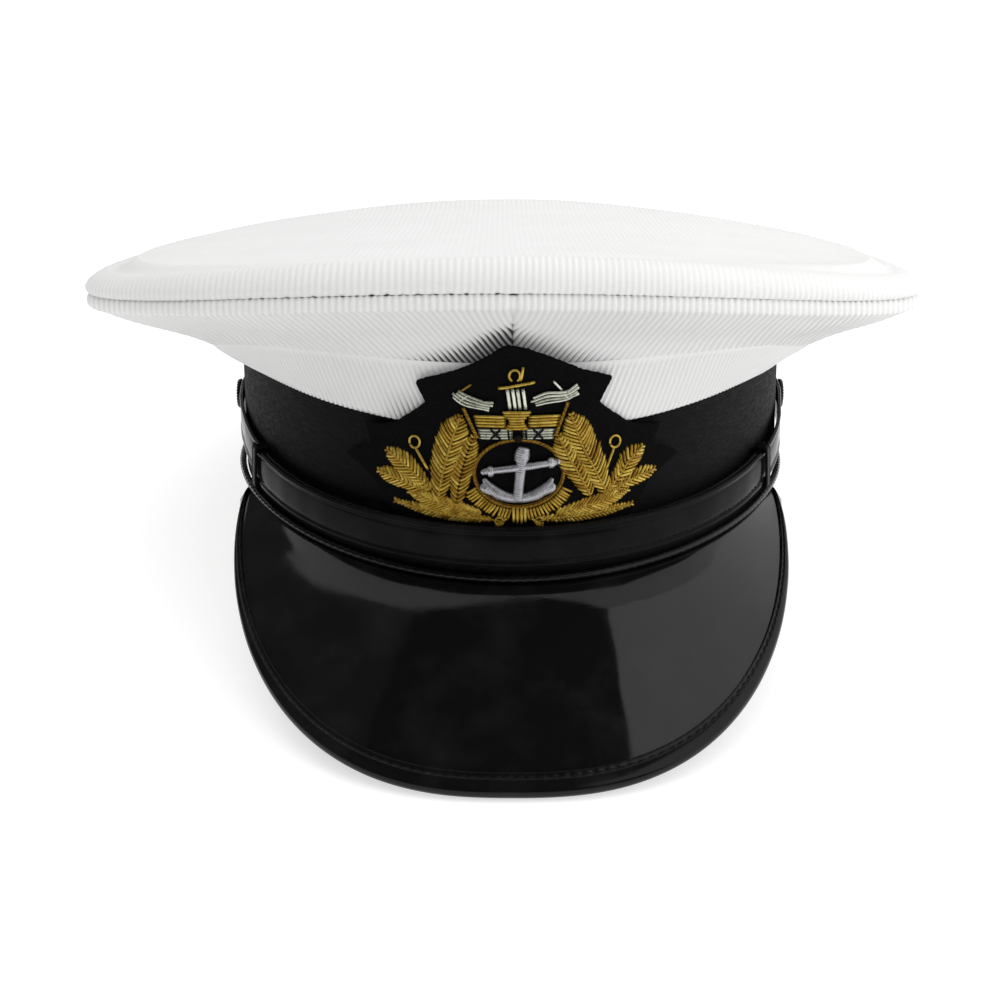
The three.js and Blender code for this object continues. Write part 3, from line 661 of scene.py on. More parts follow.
def crown_quarter(index, name):
    """A quarter of the underside. Its cords run down towards the front or rear seam."""
    start = index * math.pi / 2
    columns, rows = 640, 150
    t = start + math.pi / 2 * np.linspace(0, 1, columns)
    knots = quarter_knots(t)
    # the crest, where the underside turns into the roll, is the fourth of the ten stations
    crest = round(0.7 * (rows - 1))
    u = np.interp(np.arange(rows), [0, crest, rows - 1], [0, 1 / 3, 1])
    path = spline(knots, u)
    offset, height = path[..., 0].T, path[..., 1].T
    points = on_oval(t[None, :], offset, height)
    share = np.clip((offset - crease_offset(t)) / (rim_offset(t) - crease_offset(t)), 0, 1)
    normal = normals_of(points)
    normal *= -np.sign(normal[10:40, :, 2].mean())
    front = index in (0, 3)
    right = index in (0, 1)
    # mm from a seam, roughly
    across = np.minimum(np.arange(columns), np.arange(columns)[::-1]) / columns * 200
    free = smooth(0.0, 9.0, across)[None, :]
    climb = 0.959 * points[..., 2] - 0.284 * np.abs(points[..., 1])
    climb[crest:] = climb[crest]
    c = points[..., 0] - climb * (1 if right else -1)
    c = c + 0.2 * waves(points, 45, 20 + index) * free
    # the badge stands against the front, and the cloth is drawn in along its upper edge
    beside = points[..., 0] + 1
    edge = 70.3 - 0.38 * np.abs(beside) - 1.5 * smooth(-3, -12, beside)
    near_badge = smooth(7.5, 0.5, points[..., 2] - edge) * smooth(38, 24, np.abs(beside)) if front else 0.0
    # shaded is painted shade along the badge's upper edge, twice as strong on the front left quarter
    shaded = near_badge * (1.0 if index == 3 else 0.5)
    tautness = 1 - 0.5 * smooth(-50, -105, points[..., 0])
    depth = 0.34 * tautness * (0.85 + 0.15 * waves(points, 50, 31)) * (1 + 0.6 * near_badge)
    depth = depth * smooth(0.0, 0.05, share)
    pull = pucker(t)[None, :] * smooth(0.70, 0.92, u)[:, None]
    fade = 1 - 0.8 * smooth(0.90, 0.985, u)[:, None]
    slack = 0.45 * waves(points, 55, 41) * smooth(0, 0.25, share) * smooth(1.0, 0.8, share) * free
    slack = slack - 1.1 * near_badge * smooth(0.0, 0.2, share)
    # the seams between quarters are drawn in
    tuck = -0.5 * np.exp(-((across / 1.1) ** 2))[None, :]
    points = points + normal * (cords(c, depth) * fade + slack + tuck - 0.25 * pull)[..., None]
    # painted shade along the seams between quarters; the tone below also paints shade in the cord valleys,
    # along the badge's upper edge and at the stitch puckers
    joint = np.exp(-((across / 0.4) ** 2))[None, :] * smooth(0.95, 0.2, share)
    tone = valley(c) * (1 + 3.2 * shaded) + 1.9 * shaded**2 + 1.5 * pull + 1.5 * joint
    shape = Shape().grid(crown_shift(points, share), tone=tone)
    shape.object(f"crown_{name}_cloth", WHITE, "cap", "white_cloth", [f"crown_quarter_{name}"],
                 weld_at=0.00001)


def crown_stand():
    """The wall between the band and the crease, with upright cords that fan out from the badge."""
    columns, rows = 1900, 50
    t = (np.arange(columns) + 0.5) / columns * TAU - math.pi
    u = np.linspace(0, 1, rows)[:, None]
    foot, top = stand_foot(t), crease_height(t) + 1.2
    bulge_height = (foot + crease_height(t)) / 2 - 1.5 * np.sin(t) ** 2
    a, b, c = (1 - u) ** 2, 2 * u * (1 - u), u**2
    offset = a * 5.4 + b * stand_bulge(t) + c * (crease_offset(t) - 0.15)
    height = a * foot + b * bulge_height + c * top
    # the foot is turned under, on the band
    turn = np.array([[0.15, 1.2], [-0.25, 0.35]])
    offset = np.concatenate([5.15 + turn[::-1, :1] + 0 * t, offset + 1.0], 0)
    height = np.concatenate([foot + turn[::-1, 1:], height], 0)
    points = on_oval(t, offset, height)
    middle = on_oval(t, 8.0)
    run = run_along(middle)
    arc = (run - np.interp(0, t, run))[None, :]
    lean = 0.42 * np.exp(-((t / 0.75) ** 2)) * np.sign(np.sin(t))
    coordinate = arc + lean * (62 - height) * np.minimum(1, np.abs(t) / 0.12)
    coordinate = coordinate + 0.15 * waves(points, 40, 61)
    normal = normals_of(points, wrap=True)
    outward = points.copy()
    outward[..., 2] = 0
    normal *= np.sign((normal * outward).sum(-1).mean())
    fade = np.ones((rows + 2, 1))
    fade[:3, 0] = [0.0, 0.3, 0.8]
    fade[-6:, 0] = [0.9, 0.7, 0.45, 0.2, 0.0, 0.0]
    slack = 0.35 * waves(points, 40, 62)
    points = points + normal * (cords(coordinate, 0.38) * fade + slack * fade)[..., None]
    # left of the badge the cloth turns in, and lies in its shade
    near = smooth(-41, -27, points[..., 0]) * smooth(2, -8, points[..., 0]) * smooth(58, 46, height)
    near = near * (points[..., 1] < 0)
    # painted shade: the tone darkens the cord valleys, and more so left of the badge
    shape = Shape().grid(points, wrap_v=True, tone=valley(coordinate) * fade * (1 + 1.2 * near) + 1.4 * near)
    shape.object("crown_stand_cloth", WHITE, "cap", "white_cloth", ["crown_stand"], weld_at=0.00001)


crown_top()
for number, place_name in enumerate(("front_right", "back_right", "back_left", "front_left")):
    crown_quarter(number, place_name)
crown_stand()

# ---------------------------------------------------------------- the peak's form

PEAK = {"half_angle": math.radians(70), "half_width": 84.8, "side_y": -28, "tip_y": -148.3, "side_z": 7.3,
        "fall": 35, "sag": 16.4, "square": 2.6, "inner": 1.7, "bend": 5.6, "drop": 1.2, "bulge": 0.4,
        "flange": 0.06}
PEAK_TOP, PEAK_UNDER = 0.62, -0.68  # faces of its patent sheet
PEAK_LINING_TOP, PEAK_LINING_UNDER = -1.0, -1.55


def peak_point(p, s):
    p, s = np.broadcast_arrays(np.asarray(p, float), s)
    side = 2 * s - 1
    t = PEAK["half_angle"] * side
    level = band_lift(t) - PEAK["drop"]
    root, bend = on_oval(t, PEAK["inner"], level), on_oval(t, PEAK["bend"], level)
    turn = math.pi / 2 * side
    power = 2 / PEAK["square"]
    fall = np.abs(np.cos(turn)) ** power
    rim = np.stack([
        PEAK["half_width"] * np.sign(side) * np.abs(np.sin(turn)) ** power,
        PEAK["side_y"] + (PEAK["tip_y"] - PEAK["side_y"]) * fall,
        PEAK["side_z"] - PEAK["fall"] * fall - PEAK["sag"] * fall * fall,
    ], -1)
    f = PEAK["flange"]
    inner = np.clip(p / f, 0, 1)[..., None]
    along = np.clip((p - f) / (1 - f), 0, 1)[..., None]
    bulge = PEAK["bulge"] * 4 * along * (1 - along) * fall[..., None]
    outer = bend + (rim - bend) * along + bulge * np.array([0, -0.7, 0.7])
    return np.where((p < f)[..., None], root + (bend - root) * inner, outer)


def peak_layer(p, s, depth):
    """Points moved depth mm along the peak's upward normal."""
    step = 0.004
    pl, sl = np.clip(p, PEAK["flange"] + step, 1 - step), np.clip(s, step, 1 - step)
    pl, sl = np.broadcast_arrays(pl, sl)
    along_p = peak_point(pl + step, sl) - peak_point(pl, sl)
    along_s = peak_point(pl, sl + step) - peak_point(pl, sl - step)
    n = unit(np.cross(along_s, along_p))
    n = n * np.where(n[..., 2:3] < 0, -1, 1)
    return peak_point(p, s) + n * np.asarray(depth)[..., None]


def peak_root_top(t):
    """Height of the top of the peak's root at angle t, which the band's fold stands on."""
    s = np.clip((t / PEAK["half_angle"] + 1) / 2, 0, 1)
    return peak_layer(np.full_like(s, PEAK["flange"] / 2), s, np.full_like(s, PEAK_TOP))[..., 2]


# ---------------------------------------------------------------- band

MOHAIR_RIB = 0.68


def mohair_band():
    columns = 370
    t = angles_round(columns) - math.pi
    ribs = int(BAND_HEIGHT / MOHAIR_RIB)
    u = np.linspace(0, 1, ribs * 4 + 1)
    height = 1.1 + (BAND_HEIGHT - 1.4) * u
    wave = np.abs(np.sin(math.pi * u * ribs)) ** 0.7
    offset = 4.86 + 0.16 * wave
    points = on_oval(t[None, :], offset[:, None], height[:, None] + band_lift(t))
    points = points + 0.10 * waves(points, 35, 71)[..., None] * unit(points * [1, 1, 0])
    top = on_oval(t[None, :], np.array([[4.5], [3.9], [3.7]]),
                  np.array([[44.75], [44.75], [44.3]]) + band_lift(t))
    # over the peak the fold reaches down to the peak's root, so that no light shows between them
    over_peak = smooth(math.radians(69.6), math.radians(68.4), np.abs(t))
    fold = np.array([[1.3], [0.95], [0.92]]) + band_lift(t)
    low = on_oval(t[None, :], np.array([[3.7], [3.9], [4.5]]),
                  fold + (peak_root_top(t) + 0.02 - fold) * over_peak)
    tone = np.broadcast_to((1 - wave)[:, None], points.shape[:2])
    loop = np.concatenate([low, points, top])
    tones = np.concatenate([np.zeros((3, columns)), tone, np.zeros((3, columns))])
    Shape().grid(loop, wrap_u=True, wrap_v=True, tone=tones).object(
        "mohair_band_cloth", MOHAIR, "cap", "mohair", ["mohair_band"], weld_at=0.000001)
    # the braid's join is hand sewn at the back
    stitches = Shape()
    for h in np.arange(3.0, 43.5, 2.1):
        z = h + float(band_lift(math.pi))
        path = [on_oval(math.pi + dt, 5.1 + lift, z + dz) for dt, lift, dz in
                ((-0.008, -0.1, -0.2), (-0.003, 0.16, 0.1), (0.004, 0.16, 0.5), (0.009, -0.1, 0.8))]
        stitches.tube(np.array(path), 0.16, 5)
    stitches.object("band_join_stitches", THREAD_BLACK, "cap", "mohair")


def band_welt():
    """A twisted patent cord along the band's lower edge."""
    columns, sides = 1500, 14
    t = angles_round(columns) - math.pi
    middle = on_oval(t, 6.4)
    run = run_along(middle)
    a = angles_round(sides)[:, None]
    twist = 0.07 * np.cos(3 * (a + TAU * run[None, :] / 9.0))
    radius = 1.03 + twist
    points = on_oval(t[None, :], 6.4 + radius * np.cos(a), 1.3 + radius * np.sin(a) + band_lift(t))
    row = place(points)
    row[..., 2] = np.maximum(row[..., 2], 0.0)
    Shape().grid(row, wrap_u=True, wrap_v=True).object(
        "band_welt_cord", PATENT_TRIM, "cap", "patent", ["band_welt"], frame_points=True, weld_at=0.000001)


mohair_band()
band_welt()

# ---------------------------------------------------------------- peak

def edge_steps(count):
    """s values along the peak's rim, evenly spaced along its length."""
    s = 0.01 + 0.98 * np.linspace(0, 1, 4001)
    rim = peak_point(np.ones_like(s), s)
    run = run_along(rim)
    return np.interp(np.linspace(0, run[-1], count), run, s), run[-1]


def peak_sheet(top, low):
    """A closed sheet between two layers of the peak."""
    shape = Shape().grid(np.concatenate([top, low[::-1]]), wrap_u=True)
    for j, flip in ((0, False), (-1, True)):
        shape.grid(np.stack([top[:, j], low[:, j]], 1), flip=flip)
    return shape


def peak_shell():
    """The patent sheet, a little rippled between its root and its rim."""
    s, _ = edge_steps(260)
    p = np.concatenate([np.linspace(0, 0.06, 4)[:-1], np.linspace(0.06, 0.995, 110)])
    grid_p, grid_s = np.meshgrid(p, s, indexing="ij")
    top = peak_layer(grid_p, grid_s, np.full(grid_p.shape, PEAK_TOP))
    ease = smooth(0.08, 0.25, grid_p) * smooth(1.0, 0.9, grid_p)
    ripple = 0.11 * waves(top, 46, 81) + 0.035 * waves(top, 17, 82)
    # a slow fold down the right half, where the board was pressed
    x = top[..., 0]
    ripple = ripple + 0.25 * np.exp(-(((x - 30) / 5.5) ** 2)) + 0.12 * np.exp(-(((x + 38) / 9) ** 2))
    top[..., 2] += ripple * ease
    low = peak_layer(grid_p, grid_s, np.full(grid_p.shape, PEAK_UNDER))
    peak_sheet(top, low).object("peak_patent", PATENT, "cap", "patent", ["peak_shell"], weld_at=0.000005)


def peak_lining():
    s, _ = edge_steps(200)
    p = np.linspace(0.1, 0.985, 70)
    grid_p, grid_s = np.meshgrid(p, s, indexing="ij")
    low = peak_layer(grid_p, grid_s, np.full(grid_p.shape, PEAK_LINING_UNDER))
    top = peak_layer(grid_p, grid_s, np.full(grid_p.shape, PEAK_LINING_TOP))
    # cross-scored cloth, pressed in diamonds
    x, y = low[..., 0], low[..., 1]
    cross = np.abs(np.sin(math.pi * (x + y) / 3.2) * np.sin(math.pi * (x - y) / 3.2))
    low[..., 2] += 0.12 * cross
    peak_sheet(top, low).object(
        "peak_underside", BADGE_CLOTH, "cap", "badge_cloth", ["peak_lining"], weld_at=0.000005)


BINDING_SHARE = 0.077  # the binding's part of the peak's depth
BINDING_SEAM = 3.95  # its stitches lie this far from the rim


def peak_binding():
    """The patent strip folded over the peak's rim, its stitches and the groove they lie in."""
    s, length = edge_steps(700)
    section = np.array([
        [5.4, 0.75], [5.45, 1.15], [5.2, 1.42], [4.8, 1.5], [4.3, 1.42], [3.95, 1.24], [3.6, 1.42],
        [3.1, 1.62], [2.0, 1.74], [0.9, 1.68], [0.0, 1.42], [-0.7, 0.9], [-1.12, 0.2], [-1.2, -0.5],
        [-1.05, -1.3], [-0.5, -2.1], [0.3, -2.55], [1.6, -2.68], [3.6, -2.6], [5.2, -2.55], [5.4, -2.3],
        [5.3, -1.95], [0.3, -1.9], [0.3, 0.75],
    ])
    dense = resample(np.vstack([section[:21]]), count=44)
    section = np.vstack([dense, section[21:]])
    x, d = section[:, 0][:, None], section[:, 1][:, None]
    ss = np.broadcast_to(s, (len(section), len(s)))
    pitch = 3.1
    run = np.linspace(0, length, len(s))
    sewn = ((0.5 + 0.5 * np.cos(TAU * run / pitch))[None, :] * np.exp(-(((x - BINDING_SEAM) / 0.5) ** 2))
            * (d > 0.8))
    dd = d - 0.22 * sewn + 0.03 * np.sin(TAU * run / 23 + 1)[None, :]
    rim = peak_layer(np.ones_like(ss), ss, dd)
    back = peak_layer(np.full_like(ss, 1 - BINDING_SHARE), ss, dd)
    points = rim + unit(back - rim) * np.broadcast_to(x, ss.shape)[..., None]
    row = place(points)
    row[..., 2] = np.maximum(row[..., 2], 0.0)
    shape = Shape().grid(row, wrap_u=True)
    shape.object("peak_edge_binding", PATENT_TRIM, "cap", "patent", ["peak_binding"], frame_points=True,
                 weld_at=0.000002)

    def stitch(along):
        at = np.interp(along, run, s)
        lift = np.array([0.98, 1.30, 1.36, 1.30, 0.98])
        edge = peak_layer(np.ones(5), at, lift)
        back = peak_layer(np.full(5, 1 - BINDING_SHARE), at, lift)
        return edge + unit(back - edge) * BINDING_SEAM

    stitch_row(length, pitch, (0.20, 0.35, 0.5, 0.65, 0.80), stitch, 0.2, 6).object(
        "peak_edge_stitches", THREAD_BLACK, "cap", "patent")


peak_shell()
peak_lining()
peak_binding()

# ---------------------------------------------------------------- chin strap

STRAP_WIDTH, STRAP_THICK = 11.0, 1.1
STRAP_LAP, STRAP_TAIL = math.radians(59.5), math.radians(92.5)
LAP_FULL, LAP_GONE = math.radians(62), math.radians(78)


def strap_section():
    """Across the strap, from its lower edge up: share of the width, and depth from its back."""
    return np.array([
        [-0.5, 0.12], [-0.5, 0.62], [-0.488, 0.9], [-0.465, 1.05], [-0.43, 1.1], [-0.395, 1.05],
        [-0.365, 0.84], [-0.33, 0.72], [-0.3, 0.82], [-0.22, 0.93], [-0.1, 0.98], [0.0, 0.99], [0.1, 0.98],
        [0.22, 0.93], [0.3, 0.82], [0.33, 0.72], [0.365, 0.84], [0.395, 1.05], [0.43, 1.1], [0.465, 1.05],
        [0.488, 0.9], [0.5, 0.62], [0.5, 0.12],
    ])


def strap_half(side, lap, name, node):
    section = strap_section()
    columns = 420
    t = np.linspace(-STRAP_LAP * side, STRAP_TAIL * side, columns)
    over = lap * (1 - smooth(LAP_FULL, LAP_GONE, t * side))
    centre = strap_height(np.minimum(np.abs(t), BUTTON_ANGLE))
    # the tail beyond the button is rounded
    tail = np.clip((t * side - BUTTON_ANGLE) / (STRAP_TAIL - BUTTON_ANGLE), 0, 1)
    narrow = np.sqrt(np.maximum(0.02, 1 - tail**2.4))
    share, depth = section[:, 0][:, None], section[:, 1][:, None]
    height = centre + STRAP_WIDTH * share * narrow
    offset = strap_offset(t) + over
    sway = 0.10 * np.sin(t * 31 + side) + 0.06 * np.sin(t * 67)
    front = on_oval(t[None, :], offset + depth + sway * (depth > 0.5) * 0.4, height)
    back = on_oval(t[None, :], offset + 0.02 + 0 * depth[:1], height[[0, -1]])
    loop = np.concatenate([front, back[::-1]])
    shape = Shape().grid(loop, wrap_u=True)
    middle = loop.mean(0)
    for j, flip in ((0, True), (-1, False)):
        shape.grid(np.stack([loop[:, j], np.repeat(middle[None, j], len(loop), 0)], 1), wrap_u=True,
                   flip=flip)
    shape.object(name, PATENT_STRAP, "chin_strap", "patent", [node], weld_at=0.000002)


strap_half(-1, 0.0, "strap_under_half", "chin_strap_inner")
strap_half(1, STRAP_THICK + GAP, "strap_over_half", "chin_strap_outer")


def strap_stitches():
    """The row of stitches along the lower edge of the strap's outer half."""
    fine = np.linspace(-0.25, 1.02, 1200)

    def line(t, lift=0.0):
        return on_oval(t, strap_offset(t) + STRAP_THICK + GAP + 0.78 + lift,
                       strap_height(t) - 0.33 * STRAP_WIDTH)

    run = run_along(line(fine))

    def stitch(along):
        return line(np.interp(along, run, fine), np.array([-0.12, 0.06, 0.06, -0.12]))

    stitch_row(run[-1], 2.6, (0.15, 0.4, 0.6, 0.85), stitch, 0.15).object(
        "strap_stitches", THREAD_BLACK, "chin_strap", "patent")


strap_stitches()


def keeper(side, name):
    """A loop of folded patent round both halves of the strap."""
    t0 = KEEPER_ANGLE * side
    layers = 2 * STRAP_THICK + GAP

    def at(angle):
        return on_oval(angle, strap_offset(angle) + layers / 2, strap_height(angle))

    along = unit(at(t0 + 0.01 * side) - at(t0 - 0.01 * side))
    outward = unit(np.cross(along, [0, 0, 1.0]))
    if outward[1] > 0:
        outward = -outward
    across = np.cross(along, outward)
    deep, tall = layers / 2 + 0.35, STRAP_WIDTH / 2 + 0.35
    turn = np.linspace(0, TAU, 73)[:-1] + TAU / 144
    square = 0.22
    ring_x = np.sign(np.cos(turn)) * np.abs(np.cos(turn)) ** square
    ring_z = np.sign(np.sin(turn)) * np.abs(np.sin(turn)) ** square
    profile = np.array([[-1.7, 0.0], [-1.7, 0.55], [-1.55, 0.74], [-1.3, 0.8], [-1.05, 0.72],
                        [-0.9, 0.62], [-0.6, 0.7], [0.0, 0.74], [0.6, 0.7], [0.9, 0.62], [1.05, 0.72],
                        [1.3, 0.8], [1.55, 0.74], [1.7, 0.55], [1.7, 0.0]])
    rows = []
    for x, out in profile:
        rows.append(at(t0) + x * along + ((deep + out) * ring_x)[:, None] * outward
                    + ((tall + out) * ring_z)[:, None] * across)
    grid = np.stack(rows)
    Shape().grid(grid, wrap_u=True, wrap_v=True).object(
        f"{name}_loop", PATENT_STRAP, name, "patent", [name], weld_at=0.000002)


def revolve(profile, centre, side, steps, extra):
    """A profile of (radius, height) pairs turned about the button's axis, which points outwards."""
    profile = np.asarray(profile, float)
    a = angles_round(steps)
    r, h = profile[:, 0][:, None], profile[:, 1][:, None]
    r, h = extra(r, h, a[None, :])
    r, h = np.broadcast_to(r, (len(profile), steps)), np.broadcast_to(h, (len(profile), steps))
    return np.stack([centre[0] + side * h, centre[1] + r * np.cos(a) * side, centre[2] + r * np.sin(a)], -1)


def button(side, name):
    """A small domed button with a rope edge, its shank, and the split ring behind the band."""
    t = BUTTON_ANGLE * side
    centre = on_oval(t, strap_offset(t) + STRAP_THICK, strap_height(t))
    tail = HALF_WIDTH + 1.1 - abs(centre[0])
    profile = [(0.0, 2.08)]
    profile += [(r, 2.08 - 0.30 * (r / 3.7) ** 2.2) for r in np.linspace(0.3, 3.6, 14)]
    profile += [(3.75, 1.62), (3.9, 1.58), (4.0, 1.66)]
    rope = len(profile)
    profile += [(4.15, 1.74), (4.35, 1.72), (4.6, 1.56), (4.85, 1.25), (4.98, 0.9)]
    rope_end = len(profile)
    profile += [(5.0, 0.7), (4.85, 0.45), (4.5, 0.32), (1.5, 0.3), (1.2, 0.1), (1.15, tail + 0.2),
                (1.0, tail), (0.0, tail)]

    def twist(r, h, a):
        mask = np.zeros((len(profile), 1))
        mask[rope - 1:rope_end + 1] = 1
        lift = 0.10 * np.cos(26 * a + 2.4 * (r - 4.2)) * mask
        return r, h + lift

    Shape().grid(revolve(profile, centre, side, 192, twist), wrap_v=True).object(
        f"{name}_face", DARK_METAL, name, "dark_metal", [name], weld_at=0.000002)
    # split ring: two and a half flat coils of wire
    turns = np.linspace(0, 2.4 * TAU, 150)
    radius = 1.75 + 1.9 * turns / turns[-1]
    inside = HALF_WIDTH + 1.55
    path = np.stack([np.full_like(turns, side * inside), centre[1] + radius * np.cos(turns),
                     centre[2] + radius * np.sin(turns)], -1)
    Shape().tube(path, 0.24, 8).object(f"{name}_split_ring", STEEL, name, "spring_steel",
                                       [f"button_clip_{name[7:]}"])


for side, end in ((-1, "left"), (1, "right")):
    keeper(side, f"keeper_{end}")
    button(side, f"button_{end}")

# ---------------------------------------------------------------- badge

BACKING = 1.4  # thickness of the badge's cloth
WIRE = 0.42  # radius of its wires


def on_badge(x, h, depth):
    """A point of the badge: x across and h up the front of the cap, depth in front of the band."""
    x, h, depth = np.broadcast_arrays(np.asarray(x, float), h, depth)
    offset = 5.4 + 0.27 * np.maximum(0, h - 40) + depth
    return on_oval(np.arcsin(x / (HALF_WIDTH + offset)), offset, h)


def lay(shape, path, radius, tone, sides=7, flat=0.85):
    """A wire laid on the badge along (x, h, depth) points."""
    path = np.asarray(path, float)
    return shape.tube(on_badge(path[:, 0], path[:, 1], path[:, 2]), radius, sides, tone=tone, flat=flat)


def flat_spline(points, count):
    return spline(np.asarray(points, float), np.linspace(0, 1, count))


def leaf(shape, spine, width, seed, puff, angle=46, pitch=1.22, rib=True):
    """A leaf of wires that slope from its rib towards its tip, over a padded middle."""
    rng = np.random.default_rng(seed)
    line = resample(flat_spline(spine, 60), step=pitch)
    along = unit(np.gradient(line, axis=0))
    across = np.stack([-along[:, 1], along[:, 0]], 1)
    slope = math.radians(angle)
    for k in range(len(line)):
        u = k / (len(line) - 1)
        wide = width * max(0.0, math.sin(math.pi * min(1, 0.14 + 0.86 * u) ** 1.15)) ** 0.7
        for side in (-1, 1):
            reach = max(0.6, wide * rng.uniform(0.92, 1.06)) / math.sin(slope)
            turn = slope * rng.uniform(0.94, 1.06)
            way = along[k] * math.cos(turn) + across[k] * side * math.sin(turn)
            v = np.linspace(0.02, 1, 9)
            bow = across[k] * side * 0.16 * reach
            points = line[k] + way * reach * v[:, None] + bow * (v * (1 - v))[:, None]
            rise = BACKING + WIRE * 0.8 + puff * (1 - (0.2 + 0.8 * v) ** 2.2) * min(1, wide / 2.5)
            rise = rise - 0.5 * (v > 0.99) - 0.35 * (v < 0.03)
            tone = float(np.clip(rng.normal(0.56, 0.26), 0.05, 1.0))
            lay(shape, np.column_stack([points, rise]), WIRE * rng.uniform(0.88, 1.06), tone, 8)
    if rib:
        twisted(shape, np.column_stack([line, np.full(len(line), BACKING + WIRE + puff * 0.85)]), 0.24, 1.3,
                seed, 0.45)
    return shape


def twisted(shape, path, radius, pitch, seed, tone):
    """Two strands twisted round one another along (x, h, depth) points."""
    step = 0.16
    path = resample(path, step=step)
    along = unit(np.gradient(path, axis=0))
    up = np.array([0.0, 0.0, 1.0])
    side = unit(np.cross(along, up))
    top = np.cross(side, along)
    run = np.arange(len(path)) * step
    for strand in (0, 1):
        turn = TAU * run / pitch + math.pi * strand + seed
        line = path + (side * np.cos(turn)[:, None] + top * np.sin(turn)[:, None]) * radius * 0.85
        lay(shape, line, radius, tone + 0.25 * strand, 5, 1.0)
    return shape


def loop(shape, centre, radius, start, end, depth, tone, wire, squash=1.0):
    a = np.radians(np.linspace(start, end, 26))
    x, h = centre[0] + radius * np.cos(a), centre[1] + radius * squash * np.sin(a)
    return lay(shape, np.column_stack([x, h, np.full(len(a), depth)]), wire, tone)


def bar(shape, start, end, depth, tone, wire, bow=0.0, arch=0.25):
    """A straight wire, arched a little over its padding; bow bends it across its length."""
    v = np.linspace(0, 1, 9)[:, None]
    start, end = np.asarray(start, float), np.asarray(end, float)
    line = start + (end - start) * v
    normal = np.array([-(end - start)[1], (end - start)[0]]) / np.linalg.norm(end - start)
    line = line + normal * bow * 4 * v * (1 - v)
    rise = depth + arch * np.sqrt(np.clip(4 * v[:, 0] * (1 - v[:, 0]), 0, 1)) - arch
    rise = rise - 0.25 * ((v[:, 0] < 0.01) | (v[:, 0] > 0.99))
    return lay(shape, np.column_stack([line, rise]), wire, tone)


def badge_patch():
    """The black cloth the wires are sewn to, with soft cut edges."""
    right = [(-0.8, 69.3), (3.0, 68.6), (9, 66.3), (19, 61.8), (27.2, 59.2),
             (25.2, 55), (23.7, 51.7), (27, 48.9), (32.5, 44.6), (37, 43.5),
             (41.6, 43.6), (40.4, 40), (40.3, 36.9), (44, 35.2), (47.4, 33.2), (43, 30.4), (38.6, 26.5),
             (35, 20.5), (30.5, 15.4)]
    left = [(-x, h) for x, h in right[5:-1]][::-1]
    left += [(-26.4, 57.7), (-23.4, 59.1), (-19, 60.4), (-13.6, 62.5), (-7.8, 65.4), (-5, 67.2), (-2.6, 68.9)]
    low = [(20, 14.9), (10, 14.7), (0, 14.6), (-10, 14.7), (-20, 14.9), (-30.5, 15.4)]
    outline = np.array(right + low + left, float)
    outline = np.vstack([outline, outline[:1]])
    ring = resample(outline, step=0.55)[:-1]
    soft = ring.copy()
    for _ in range(2):
        soft = (np.roll(soft, 1, 0) + 2 * soft + np.roll(soft, -1, 0)) / 4
    rng = np.random.default_rng(3)
    fray = rng.normal(0, 0.09, len(soft))
    centre = np.array([0.5, 36.0])
    away = unit(soft - centre)
    ring = soft + away * fray[:, None]
    rows = []
    for v in np.linspace(0.004, 1, 60):
        p = centre + (ring - away * 0.35 - centre) * v
        rows.append((p, np.full(len(ring), BACKING)))
    for out, depth in ((0.28, BACKING - 0.08), (0.06, BACKING - 0.3), (0.0, BACKING - 0.8), (0.1, 0.15),
                       (0.6, 0.02)):
        rows.append((ring - away * out, np.full(len(ring), depth)))
    grid = []
    for p, depth in rows:
        lifted = on_badge(p[:, 0], p[:, 1], depth)
        wave = 0.09 * waves(lifted, 11, 91) + 0.05 * waves(lifted, 4, 92)
        lifted[:, 1] -= wave * (depth > 1)
        grid.append(lifted)
    Shape().grid(np.stack(grid), wrap_v=True).object(
        "badge_cloth_patch", BADGE_CLOTH, "cap", "badge_cloth", ["badge_backing"], weld_at=0.00001)


LEAVES = {
    # for each leaf its rib from foot to tip, its half width, and whether a cord lies along the rib
    "left": [
        ([(-6, 18.9), (-15, 19.3), (-23.5, 20.4), (-32.2, 21.9)], 1.5, True),
        ([(-23.6, 25.6), (-28, 27.4), (-32.6, 28.9), (-37.0, 29.9)], 2.5, True),
        ([(-22.6, 26.6), (-27.0, 30.6), (-30.9, 33.8), (-34.4, 36.3)], 3.0, True),
        ([(-15.6, 22.6), (-14.4, 30), (-12.7, 36.6), (-10.8, 42.2)], 3.3, False),
        ([(-20.6, 24.2), (-18.9, 32.5), (-16.6, 41), (-14.3, 48.2)], 4.4, True),
    ],
    "right": [
        ([(8, 19.0), (17, 19.2), (25.5, 19.9), (33.1, 20.9)], 1.5, True),
        ([(27.8, 25.6), (32.0, 27.8), (36.0, 29.1), (39.6, 30.0)], 2.3, True),
        ([(26.4, 25.9), (29.9, 30.0), (32.4, 33.8), (35.9, 37.0)], 3.0, True),
        ([(21.6, 25.2), (18.2, 31.6), (15.2, 36.8), (12.7, 42.6)], 3.6, True),
        ([(26.0, 25.6), (22.4, 33), (18.8, 40.2), (16.0, 48.6)], 4.5, True),
    ],
}


def badge_spray(end, side):
    shape = Shape()
    for k, (spine, width, rib) in enumerate(LEAVES[end][1:]):
        leaf(shape, spine, width, 100 + 10 * k + (side > 0), rib=rib, puff=0.6 if k < 2 else 0.95)
    # a bud on its stalk
    bud, foot = ((-26.9, 39.7), (-23.2, 32.0)) if side < 0 else ((28.3, 39.7), (25.9, 31.9))
    loop(shape, bud, 1.45, -150, 200, BACKING + 0.5, 0.7, 0.34, 1.2)
    bar(shape, (bud[0] - 0.2 * side, bud[1] - 1.6), foot, BACKING + 0.6, 0.7, 0.38)
    shape.object(f"badge_spray_{end}_wire", GOLD, "cap", "gold_wire", [f"badge_spray_{end}"])


